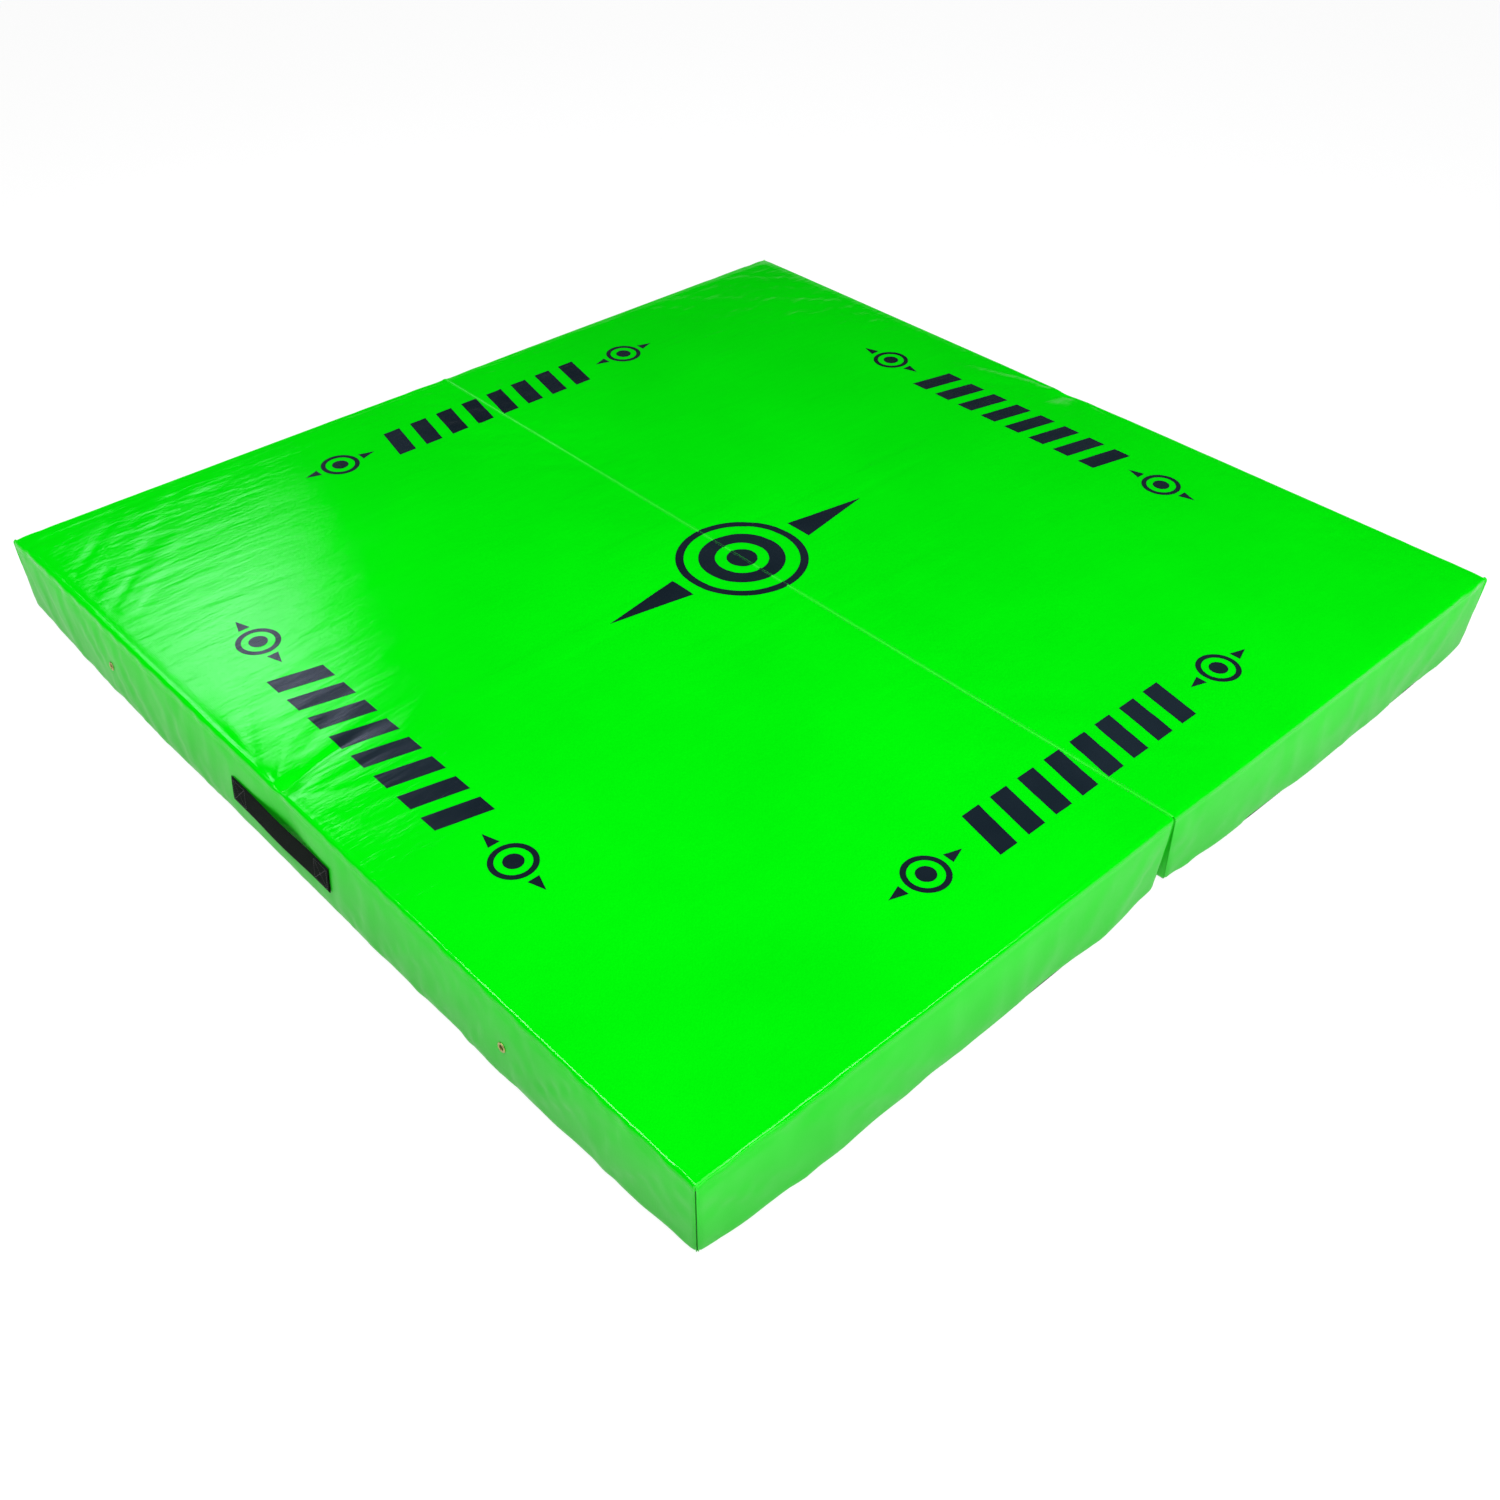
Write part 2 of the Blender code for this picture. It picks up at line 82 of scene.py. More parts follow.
HANDLE_Z = 0.07
HANDLE_L = 0.30
HANDLE_W = 0.049
HANDLE_T = 0.0022
HANDLE_SEWN = 0.045
HANDLE_STANDOFF = 0.0018
HANDLE_CLEAR = 0.0008

EYELET_Y = 0.60
EYELET_Z = 0.07
EYELET_HOLE_R = 0.0045
EYELET_BARREL_R = 0.0055
EYELET_CUT_R = 0.0062
EYELET_FLANGE_R = 0.0085

ZIP_Z = 0.040
ZIP_BAND_TOP = 0.058
ZIP_X = (0.10, 0.90)
ZIP_SLOT = (0.033, 0.047)
COIL_Y = (0.9990, 1.0020)
COIL_GAP = 0.0008
COIL_W = 0.0034
SLIDER_X = 0.885
PLATE_FRONT_Y = 1.0035
PIN_Y = 1.0057

# The grids of a cover, which way each wall faces, and the run of each wall
NEAR, OUTER, FAR, INNER, TOP = range(5)
SEWN_WALLS = (NEAR, OUTER, FAR)
OUTWARD = {NEAR: (0.0, -1.0), OUTER: (1.0, 0.0), FAR: (0.0, 1.0), INNER: (-1.0, 0.0)}
HALF_LENGTH = {NEAR: HALF / 2, OUTER: HALF, FAR: HALF / 2, INNER: HALF}
WALL_MIDDLE = {NEAR: HALF / 2, OUTER: 0.0, FAR: HALF / 2, INNER: 0.0}

# Turns of the vinyl round the foam
BOTTOM_R = 0.010
HEM_TUCK = 0.012
CORNER_R_TOP = 0.004
CORNER_R = {"a": (0.011, 0.026), "b": (0.032, 0.026)}
SLIT_CORNER_R = {"a": 0.014, "b": 0.010}
CORNER_POWER = 1.6
CROWN_W = 0.036
CROWN_DROP = 0.0016

# Relief of the top: swells as (height, seed, cell and shift out from the fold, cell and shift along it),
# wrinkles as (edge, height, seed, spacing, reach), and dips over the strap as (depth, middle, width, reach)
TOP_LIMIT = 0.0006
TOP_SWELLS = ((0.00035, 0, (0.31, 3), (0.27, 0)), (0.00020, 10, (0.12, 0), (0.10, 5)))
TOP_SWELLS += ((0.00022, 26, (0.09, 0), (0.022, 0)),)
TOP_WRINKLES = ((OUTER, 0.00042, 20, 0.034, 0.22), (OUTER, 0.00016, 25, 0.017, 0.30))
TOP_WRINKLES += ((NEAR, 0.00022, 30, 0.034, 0.11), (FAR, 0.00022, 40, 0.034, 0.11))
STRAP_DIPS = ((0.0052, 0.004, 0.017, 0.075), (0.0016, 0.0, 0.085, 0.16))
SLIT_CALM = 0.012
WRINKLE_DRIFT = 0.25
DRIFT_CELLS = (0.11, 0.16)
WRINKLE_LEAN = 1.2
LEAN_CELL = 0.3
SOFT_CELL = 0.13
SHARP_CELL = 0.09
SHARP_STRETCH = 0.6
SHARP_SHARE = 0.4
LENGTH_SPREAD = 0.5
LENGTH_STRETCH = 0.4

# Creases that fan out from the strap
CREASE_SEED = 50
CREASE_H = 0.00125
CREASE_START = 0.03
CREASE_CALM = 0.05
CREASE_CELL = 0.22
CREASE_REACH = 0.42
CREASES_A_RADIAN = 5.5
CREASE_SHIFT = 9
HANDLE_VALLEYS = 0.0022
HANDLE_VALLEY_REACH = 0.30

# Relief of the walls: swells as (cell along, cells up the wall, share at the top edge, what the foot adds)
WALL_SEED = 100
WALL_SEED_STEP = 50
WALL_WAVES = {NEAR: 0.0026, OUTER: 0.0009, FAR: 0.0018, INNER: 0.0012}
WALL_RIPPLES = 0.0005
WALL_CREASES = 0.0003
WALL_SWELLS = ((0.15, 1.1, 0.35, 1.0), (0.062, 1.6, 0.4, 1.0), (0.027, 2.1, 1.0, -1.0))
WALL_CALM_Z = 0.10
SEAM_CALM = 0.05
HEM_WAVES = 0.0012
HEM_WAVE_CELL = 0.048
HEM_WAVE_Z = 0.035
HEM_CALM = 0.018
EYELET_CALM = 0.022
STRAP_CALM = 0.06
STRAP_CALM_H = 0.055
ZIP_CALM = 0.02
SLIT_PUSH = 0.4
SLIT_PUSH_SHARE = 0.5
# Hollow for a hand, and the gather above it, as (depth, middle, width, height, reach)
STRAP_DENTS = ((0.0055, -0.02, 0.07, HANDLE_Z + 0.008, 0.038), (0.0035, 0.0, 0.035, 0.128, 0.022))

# Grid of the cover: columns between these distances from the fold, and rows up the walls
COLUMN_STOPS = ((ZIP_X[0], 12), (ZIP_X[1], 56), (HALF, 16))
SIDE_COLUMNS = 360
ARC_STEPS = 5
WALL_ROWS = (0.0185, 0.0255, *ZIP_SLOT, 0.0545, 0.060, 0.065, 0.070, 0.075, 0.080, 0.088, 0.096, 0.105, 0.114)
WALL_ROWS += (0.123, 0.132)

# Prints: generic marks, the same size and place on every side
PRINT_LIFT = 0.00025
PRINT_T = 0.0004
PRINT_ROW = 0.82
BAR_COUNT = 8
BAR_PITCH = 0.067
BAR_W = 0.040
BAR_H = 0.098
BAR_SLANT = 0.022
RING_PLACE = 0.38
RING_R = (0.030, 0.040)
RING_STEPS = 48
DOT_R = 0.017
DOT_STEPS = 36
POINTER_X = (0.050, 0.082)
POINTER_HALF_W = 0.011
TARGET_RINGS = ((0.0, 0.030), (0.052, 0.084), (0.112, 0.128))
TARGET_STEPS = 80
TARGET_POINTER_X = (0.150, 0.325)
TARGET_POINTER_HALF_W = 0.030
FOLD_MARGIN = 0.0022

# Settling of the cover over its foam
SIM_FRAMES = 26
SIM_SLACK = 0.0035
SIM_GAP = 0.0035
SIM_STIR = 0.0004
SIM_STIR_CELL = 0.06
SIM_SEED = 500
SIM_ROWS = (0.027, 0.046, 0.066, 0.088, 0.110, 0.128)
SIM_ARC_STEPS = 2
SETTLED_REST = -0.0009
SETTLED_REST_REACH = 0.04
SETTLED_TOP_LIMIT = 0.0004
SETTLED_WALL_LIMITS = (-0.0008, 0.0014)
CLOTH = {
    "quality": 8,
    "mass": 0.12,
    "tension_stiffness": 30,
    "compression_stiffness": 30,
    "shear_stiffness": 12,
    "bending_stiffness": 0.4,
    "air_damping": 2.0,
    "shrink_min": -SIM_SLACK,
    "shrink_max": -SIM_SLACK,
    "vertex_group_mass": "sewn",
}
CLOTH_COLLISION = {"distance_min": 0.0015, "collision_quality": 3}
FOAM_COLLISION = {"thickness_outer": 0.001, "cloth_friction": 8}

# Foam and base
FOAM_DEPTH = 0.0042
FOAM_LIFT = 0.0022
FOAM_ENDS = np.linspace(0, 1, 41)
FOAM_SIDES = np.linspace(-1, 1, 81)
BASE_T = 0.0010
BASE_LOW = 0.0004
BASE_INSET = 0.0068
BASE_SEAM = 0.006
BASE_ENDS = np.linspace(0, 1, 61)
BASE_SIDES = np.linspace(-1, 1, 121)

# Stitches, as (length, gap, radius)
BASE_STITCH = (0.0055, 0.0024, 0.00035)
CORNER_STITCH = (0.0052, 0.0003, 0.00055)
FOLD_STITCH = (0.0042, 0.0020, 0.00030)
HANDLE_STITCH = (0.0032, 0.0012, 0.00042)
ZIP_STITCH = (0.0036, 0.0016, 0.00032)

# Corner ridges. The outer two show their thread; each corner is (name, wall, its column, the way out)
OUTER_CORNERS = (("outer_near", NEAR, -1, (1, -1)), ("outer_far", FAR, 0, (1, 1)))
INNER_CORNERS = (("inner_near", NEAR, 0, (-0.15, -1)), ("inner_far", FAR, -1, (-0.15, 1)))
OUTER_RIDGE_SEED_STEP = 7
INNER_RIDGE_SEED = 70
INNER_RIDGE_SCALE = 0.4
WELT_START_TILT = -1.3
WELT_END_TILT = 1.0
WELT_SECTION = ((-0.0021, -0.0012), (-0.0020, 0.0012), (-0.0015, 0.0024), (-0.0009, 0.0022), (-0.0006, 0.0))
WELT_SECTION += ((0.0006, 0.0), (0.0009, 0.0020), (0.0015, 0.0021), (0.0020, 0.0010), (0.0021, -0.0012))
WELT_SWAY = 0.00018
WELT_RISE = 0.08
WELT_END = 0.6
THREAD_LIFT = 0.0002

# Fold strip
FOLD_REACH = 0.9955
FOLD_ROWS = 420
FOLD_SECTION = ((-0.0020, 0.0), (-0.0018, 0.0003), (-0.0012, 0.0007), (-0.0006, 0.0007), (-0.0002, 0.0003))
FOLD_SECTION += tuple((-x, z) for x, z in reversed(FOLD_SECTION)) + ((0.0020, -0.0002), (-0.0020, -0.0002))
FOLD_RAISED_Z = 0.0003
FOLD_PUCKER = 0.00003
FOLD_PUCKER_PITCH = 0.0062
FOLD_RISE = 0.00012
FOLD_RISE_CELL = 0.05
FOLD_RISE_SEED = 31
FOLD_SWAY = 0.00035
FOLD_SWAY_CELL = 0.09
FOLD_SWAY_SEED = 32
FOLD_SWAY_X = 0.004
FOLD_STITCH_X = 0.0042
FOLD_STITCH_LIFT = 0.0001
FOLD_STITCH_STEP = 4

# Strap, its patch and the eyelets
STRAP_FLATNESS = 0.28
STRAP_ROWS = 61
STRAP_SIDES = 32
BOX_MARGIN = 0.005
BOX_INNER_MARGIN = 0.003
BOX_STEPS = 12
PATCH_MARGIN = 0.012
PATCH_DEPTH = 0.0016
PATCH_T = 0.0008
PATCH_GRID = (25, 9)
EYELET_SIDES = 40
EYELET_BACK = -0.0029
EYELET_SEAT = 0.0003
EYELET_LIP = 0.0004
ROLL_STEPS = 12
ROLL_LOW = 0.0006
ROLL_RISE = 0.0012
ROLL_POWER = 0.8
LEAN_STEP = 0.001

# Zip
COIL_PITCH = 0.002
COIL_STEPS = 8
COIL_SIDES = 5
COIL_WIRE_R = 0.00036
COIL_REACH = 0.0003
PLATE_BACK_Y = COIL_Y[1] + 0.0003
SLIDER_L = 0.014
SLIDER_HALF_W = 0.0057
SLIDER_BEVEL = 0.00025
NOSE_W = 0.62
NOSE_START = 0.45
FLANGE_T = 0.0008
FLANGE_R = 0.00035
FLANGE_SPAN = (0.7, 0.9)
FLANGE_Y = (COIL_Y[0] + 0.0004, PLATE_FRONT_Y - 0.0002)
LUG_X = 0.0016
LUG_Z = (0.0022, 0.0030)
LUG_R = 0.0002
LUG_ROOT = 0.0004
LUG_STEPS = ((1.0, 0.0022), (0.8, 0.0030), (0.5, 0.0035))
PIN_R = 0.0006
PIN_SIDES = 16
EYE_R = (0.00095, 0.00175)
EYE_HALF_W = 0.0019
EYE_SIDES = 24
PULL_T = 0.0012
PULL_BEVEL = 0.0002
# The neck and the tab of the pull, as (half width, start, end), and the ribs across it
PULL_PARTS = ((0.0019, 0.0013, 0.0052), (0.0032, 0.0046, 0.0256))
PULL_R = 0.0022
PULL_ROUNDING = 0.95
PULL_RIBS = ((0.0080, 0.0090), (0.0105, 0.0115), (0.0130, 0.0140))
RIB_HALF_W = 0.0024
RIB_R = 0.0004
RIB_RISE = 0.0002
STOP_INSET = 0.0045
STOP_HALF_L = 0.0015
STOP_MARGIN = 0.0003
STOP_R = 0.0006
STOP_FRONT_Y = COIL_Y[1] + 0.0012
STOP_BEVEL = 0.0003
ZIP_SEAM = 0.0045
ZIP_SEAM_END = 0.006
ZIP_SEAM_STEPS = 40

# Crisp edges, in degrees
CRISP = 40
CRISP_RIM = 50
CRISP_RIDGE = 60
CRISP_COIL = 80

# Finish: the walls are duller than the top, from being dragged over floors
WALL_SCUFFS = 0.34
SCUFF_Z = (0.132, 0.147)
CREASED_Z = (0.138, 0.1485)
# Painted shade: towards the floor the vinyl's colour is painted darker and greyer, for the shade at the foot
# of the walls
FOOT_SHADE_TOP_Z = 0.128
FOOT_SHADE_SHARE = 0.92
FOOT_SHADE_TONE = 0.68
FOOT_SHADE_GREY = 0.012
CLOUD_SHADE_SPREAD = 0.1
SCRIM_PITCH = 0.0031
RIB_PITCH = 0.0026
WEFT_PITCH = 0.0022
WEFT_SHIFT = 0.0011
WEFT_H = 0.6
DOT_PITCH = 0.008
TWILL_PITCH = 0.0012
TWIST_PITCH = 0.0009

# Floor, sweep and camera
FLOOR_DROP = 0.0004
FLOOR_R = 8.4
FLOOR_SIDES = 96
FLOOR_GLOW = 0.93
SWEEP_R = 3.4
SWEEP_STEPS = 10
SWEEP_GREY_Z = 1.2
SWEEP_GLOW = 0.3
CAMERA_PLACE = (-1.7377, -1.8775, 1.8219)
CAMERA_TURN = (49.905, -0.367, -42.889)
LENS_MM = 38.0
SENSOR_MM = 36.0
CLIP_START = 0.05

# Soft boxes, as (name, place, target, size, radiance, colour)
WHITE = (1.0, 1.0, 1.0)
COOL = (0.72, 0.76, 1.0)
LIGHTS = (
    ("key_light", (-1.1, -1.6, 4.2), (-0.3, -0.3, 0.0), (3.6, 4.2), 2.87, WHITE),
    ("mirrored_softbox", (0.18, 3.2, 2.37), (0.18, 0.0, 2.37), (0.88, 1.12), 2.9, COOL),
    ("softbox_core", (0.22, 3.19, 2.3), (0.22, 0.0, 2.3), (0.5, 0.7), 2.6, COOL),
    ("left_strip", (-1.6, 0.8, 2.8), (-1.0, 0.8, 0.15), (1.5, 0.7), 12.5, WHITE),
    ("right_strip", (0.9, -1.75, 2.85), (0.9, -1.0, 0.15), (1.6, 0.8), 10.0, WHITE),
    ("right_fill", (-0.2, -4.0, 1.6), (-0.2, -1.0, 0.1), (2.0, 1.8), 2.4, WHITE),
    ("low_back_fill", (4.2, 4.2, 0.9), (0.8, 0.8, 0.1), (3.0, 0.9), 0.2, WHITE),
)


# ---- the frame's own shape ----


def slit(z):
    """Distance from the fold plane to the inner wall."""
    return SLIT_TOP + (SLIT_BOTTOM - SLIT_TOP) * (1 - z / THICK)


def length_profile(t):
    return 1 - np.abs(t) ** BULGE_POWER


def height_profile(z):
    return 1 - (z / THICK) ** 2


def far_profile(z):
    """The zip holds its wall straight, so this wall bulges only above the zip."""
    return np.where(z <= ZIP_BAND_TOP, 0.0, np.sin(np.pi * (z - ZIP_BAND_TOP) / (THICK - ZIP_BAND_TOP)))


def outer_wall(y, z):
    """Distance from the fold plane to the outer wall."""
    return HALF + OUTER_BULGE * length_profile(y / HALF) * height_profile(z)


def end_bulge(u, z, profile):
    """How far an end wall stands out, at distance u from the fold plane."""
    along = 2 * (u - slit(z)) / (HALF - slit(z)) - 1
    return END_BULGE * length_profile(along) * profile(z)


# ---- smooth random shapes, the same on every run ----


def lattice_noise(seed, u, v):
    """Smooth values between -1 and 1 over unit cells."""
    size = 97
    table = np.random.default_rng(seed).uniform(-1, 1, (size, size))
    i = np.floor(u).astype(int)
    j = np.floor(v).astype(int)
    a, b = u - i, v - j
    a, b = a * a * (3 - 2 * a), b * b * (3 - 2 * b)
    low = table[i % size, j % size] * (1 - a) + table[(i + 1) % size, j % size] * a
    high = table[i % size, (j + 1) % size] * (1 - a) + table[(i + 1) % size, (j + 1) % size] * a
    return low * (1 - b) + high * b


def fade(distance, reach):
    """1 at a distance of 0, falling smoothly to 0 at reach."""
    t = np.clip(1 - distance / reach, 0, 1)
    return t * t * (3 - 2 * t)


def bell(distance, width):
    return np.exp(-((distance / width) ** 2))


# ---- relief of the top and of the walls ----


def edge_wrinkles(seed, along, inward, spacing, reach):
    """Creases square to an edge, dying out inwards. They drift and lean a little, and differ in length."""
    drift = WRINKLE_DRIFT * lattice_noise(seed, along / DRIFT_CELLS[0], inward / DRIFT_CELLS[1])
    lean = WRINKLE_LEAN * lattice_noise(seed + 1, along / LEAN_CELL, inward * 0)
    along = along / spacing + drift + inward * lean
    soft = lattice_noise(seed + 2, along, inward / SOFT_CELL)
    sharp = 1 - 2 * np.abs(lattice_noise(seed + 3, along * SHARP_STRETCH, inward / SHARP_CELL))
    length = reach * (1 + LENGTH_SPREAD * lattice_noise(seed + 4, along * LENGTH_STRETCH, inward * 0))
    return ((1 - SHARP_SHARE) * soft + SHARP_SHARE * sharp) * np.exp(-inward / length)


def handle_creases(seed, inward, y):
    """Creases that fan out over the top from the handle's middle, where the strap drags the edge down."""
    angle = np.arctan2(y, inward + CREASE_START)
    distance = np.hypot(y, inward + CREASE_START)
    ridges = lattice_noise(seed, angle * CREASES_A_RADIAN + CREASE_SHIFT, distance / CREASE_CELL)
    return ridges * fade(distance, CREASE_REACH) * np.clip(distance / CREASE_CALM, 0, 1)


def top_relief(panel, u, y):
    """Height of the top sheet over the level plane, at distance u from the fold."""
    inward = {OUTER: HALF - EDGE_R - u, NEAR: HALF - EDGE_R + y, FAR: HALF - EDGE_R - y}
    height = 0.0
    for size, seed, (cell_u, shift_u), (cell_y, shift_y) in TOP_SWELLS:
        height = height + size * lattice_noise(panel.seed + seed, u / cell_u + shift_u, y / cell_y + shift_y)
    for edge, size, seed, spacing, reach in TOP_WRINKLES:
        along = y if edge == OUTER else u
        height = height + size * edge_wrinkles(panel.seed + seed, along, inward[edge], spacing, reach)
    creases = handle_creases(panel.seed + CREASE_SEED, inward[OUTER], y)
    height = TOP_LIMIT * np.tanh((height + CREASE_H * creases) / TOP_LIMIT)
    height = height - HANDLE_VALLEYS * np.clip(-creases, 0, 1) * fade(inward[OUTER], HANDLE_VALLEY_REACH)
    for distance in inward.values():
        height = height - CROWN_DROP * np.clip(1 - distance / CROWN_W, 0, 1) ** 2
    for depth, middle, width, reach in STRAP_DIPS:
        height = height - depth * bell(y - middle, width) * fade(inward[OUTER], reach)
    return height * fade(SLIT_TOP + SLIT_CALM - u, SLIT_CALM)


def wall_relief(panel, wall, along, z):
    """How far a wall is pushed out, at a place along it and a height."""
    seed = panel.seed + WALL_SEED + WALL_SEED_STEP * wall
    high = z / THICK
    foot = np.clip(1 - high, 0, 1)
    from_corner = HALF_LENGTH[wall] - np.abs(along - WALL_MIDDLE[wall])
    push = 0.0
    sizes = (WALL_WAVES[wall], WALL_RIPPLES, WALL_CREASES)
    for number, (size, (cell, cells_up, at_top, at_foot)) in enumerate(zip(sizes, WALL_SWELLS)):
        swell = lattice_noise(seed + number, along / cell, high * cells_up)
        push = push + size * swell * (at_top + at_foot * foot)
    hem = HEM_WAVES * lattice_noise(seed + 3, along / HEM_WAVE_CELL, high) * bell(z, HEM_WAVE_Z)
    hem = hem * (1 - fade(from_corner, HEM_CALM))
    push = push * (1 - fade(from_corner, SEAM_CALM))
    return push * fade(z - WALL_CALM_Z, THICK - EDGE_R - WALL_CALM_Z) + hem


def calm_near_fittings(push, y, z):
    """The outer wall stays on the frame's shape at the eyelets and under the ends of the strap."""
    for place in (-EYELET_Y, EYELET_Y):
        push = push * (1 - bell(np.hypot(y - place, z - EYELET_Z), EYELET_CALM))
    sewn_middle = HANDLE_L / 2 - HANDLE_SEWN / 2
    return push * (1 - fade(np.abs(y) - sewn_middle, STRAP_CALM) * bell(z - HANDLE_Z, STRAP_CALM_H))


def dent_behind_strap(y, z):
    """The hand's space behind the strap, and the pull of the strap on the wall above it."""
    dent = 0.0
    for depth, middle, width, height, reach in STRAP_DENTS:
        dent = dent + depth * bell(y - middle, width) * bell(z - height, reach)
    return dent


# ---- points of the cover ----


class Panel:
    """One half of the mat. Its points are kept as grids once they are worked out."""

    def __init__(self, side, tag, seed):
        self.side = side
        self.tag = tag
        self.seed = seed
        self.body = "panel_" + tag
        self.settled = None


PANELS = (Panel(-1, "a", 1000), Panel(1, "b", 2000))


def quarter_turn(steps):
    """Angles of a quarter circle."""
    return [math.pi / 2 * step / steps for step in range(steps + 1)]


def wall_levels(rows, steps):
    """(height, inset, tilt) of each level: tucked under the panel, round the bottom, up the wall and over the
    top edge."""
    levels = [(HEM_Z, BOTTOM_R + HEM_TUCK, -math.pi / 2)]
    for angle in quarter_turn(steps):
        rise, tuck = BOTTOM_R * (1 - math.cos(angle)), BOTTOM_R * (1 - math.sin(angle))
        levels.append((HEM_Z + rise, tuck, angle - math.pi / 2))
    levels += [(z, 0.0, 0.0) for z in rows]
    for angle in quarter_turn(steps):
        rise, inset = EDGE_R * math.sin(angle), EDGE_R * (1 - math.cos(angle))
        levels.append((THICK - EDGE_R + rise, inset, angle))
    return levels


def round_corner(distance, radius):
    """Moves points near a corner onto an arc: how far each slides along its wall, and how far it moves in."""
    radius = max(radius, 1e-6)
    angle = math.pi / 4 * np.clip(1 - distance / radius, 0, 1)
    slide = np.where(distance < radius, radius * (1 - np.sin(angle)) - distance, 0.0)
    return slide, radius * (1 - np.cos(angle))


def corner_radius(z, low, high):
    """Radius at a height: low at the floor, high at the top."""
    return high + (low - high) * (1 - z / THICK) ** CORNER_POWER


def level_points(panel, level, end_columns, side_columns, depth=0.0, sharp_slit=False):
    """(u, y) of the near, outer, far and inner wall at one level, at a depth inside the cover. Each runs on
    from the one before."""
    z, inset, _ = level
    tuck = inset if z < THICK / 2 else 0.0
    start = slit(z) + tuck + depth
    inset = inset + depth
    near_r, far_r = (corner_radius(z, radius, CORNER_R_TOP) - inset for radius in CORNER_R[panel.tag])
    slit_r = 0.0 if sharp_slit else corner_radius(z, SLIT_CORNER_R[panel.tag], 0.0) - inset
    reach = HALF - inset
    along = (reach - start) * end_columns
    slide_in, pull_in = round_corner(along, slit_r)
    ends = []
    for radius, profile in ((near_r, height_profile), (far_r, far_profile)):
        slide_out, pull_out = round_corner(along[-1] - along, radius)
        out = reach + end_bulge(start + along, z, profile) - pull_in - pull_out
        ends.append((start + along + slide_in - slide_out, out))
    y = reach * side_columns
    sides = []
    for low_r, high_r in ((near_r, far_r), (slit_r, slit_r)):
        slide_low, pull_low = round_corner(y + reach, low_r)
        slide_high, pull_high = round_corner(reach - y, high_r)
        sides.append((y + slide_low - slide_high, pull_low + pull_high))
    (near_u, near_out), (far_u, far_out) = ends
    (outer_y, outer_pull), (inner_y, inner_pull) = sides
    near = np.stack([near_u, -near_out], -1)
    outer = np.stack([outer_wall(y, z) - inset - outer_pull, outer_y], -1)
    far = np.stack([far_u, far_out], -1)[::-1]
    inner = np.stack([start + inner_pull, inner_y], -1)[::-1]
    return near, outer, far, inner


def top_points(panel, end_columns, side_columns, relief=True, depth=0.0):
    """The top sheet as a grid of (u, y, z): rows along the fold, columns out from it."""
    start = SLIT_TOP + depth
    reach = HALF - EDGE_R - depth
    u, y = np.meshgrid(start + (reach - start) * end_columns, reach * side_columns, indexing="ij")
    z = THICK - depth + 0.0 * u
    if relief:
        z = z + top_relief(panel, u, y) + settled_top(panel, end_columns, side_columns)
    return np.stack([u, y, z], -1)


def borders(grid):
    """The border of a grid of the top, for each wall in its own order."""
    return {NEAR: grid[:, 0], OUTER: grid[-1], FAR: grid[::-1, -1], INNER: grid[0, ::-1]}


def wall_push(panel, wall, points, z, settled):
    """Relief of a wall at its points, over the shape that it settled into."""
    along = points[:, 1] if wall in (OUTER, INNER) else points[:, 0]
    push = wall_relief(panel, wall, along, z + 0 * along) + settled
    if wall == OUTER:
        push = calm_near_fittings(push, along, z) - dent_behind_strap(along, z)
    elif wall == FAR:
        push = push * np.clip((z - ZIP_BAND_TOP) / ZIP_CALM, 0, 1)
    elif wall == INNER:
        push = np.clip(push, -SLIT_PUSH * slit(z), SLIT_PUSH * slit(z)) * SLIT_PUSH_SHARE
    return push


def wall_points(panel, levels, end_columns, side_columns, top, relief=True, depth=0.0):
    """Each wall as a grid of (u, y, z): one row for each level."""
    edges = borders(top[..., 2] - top[0, 0, 2])
    settled = settled_walls(panel, levels, end_columns, side_columns)
    walls = {wall: [] for wall in OUTWARD}
    for number, level in enumerate(levels):
        z, _, tilt = level
        for wall, points in enumerate(level_points(panel, level, end_columns, side_columns, depth)):
            out = np.array([*OUTWARD[wall], 0.0])
            if wall != INNER:
                out = out * math.cos(tilt) + np.array([0.0, 0.0, math.sin(tilt)])
            push = 0.0 * points[:, 0]
            if relief:
                push = wall_push(panel, wall, points, z, settled[wall][number]) * max(math.cos(tilt), 0.0)
                if tilt > 0 and wall != INNER:
                    push = push + edges[wall] * math.sin(tilt) ** 2
            place = np.column_stack([points, np.full(len(points), z)])
            walls[wall].append(place + push[:, None] * out)
    return {wall: np.array(rows) for wall, rows in walls.items()}


def girth(levels):
    """Distance up over the levels from the hem."""
    places = np.array([(z, inset) for z, inset, _ in levels])
    return np.concatenate([[0.0], np.cumsum(np.linalg.norm(np.diff(places, axis=0), axis=1))])


def wall_columns(end_columns, side_columns):
    """How far along its wall each column is, rising in the wall's own order."""
    return {NEAR: end_columns, OUTER: side_columns, FAR: -end_columns[::-1], INNER: -side_columns[::-1]}


def carried(old, new, values):
    """Values at old places, carried to new places along the first axis on a smooth curve."""
    k = np.clip(np.searchsorted(old, new, side="right") - 1, 0, len(old) - 2)
    t = ((new - old[k]) / (old[k + 1] - old[k]))[:, None]
    p0, p1, p2, p3 = (values[np.clip(k + step, 0, len(old) - 1)] for step in (-1, 0, 1, 2))
    bend = (2 * p0 - 5 * p1 + 4 * p2 - p3) * t ** 2 + (3 * p1 - p0 - 3 * p2 + p3) * t ** 3
    return 0.5 * (2 * p1 + (p2 - p0) * t + bend)


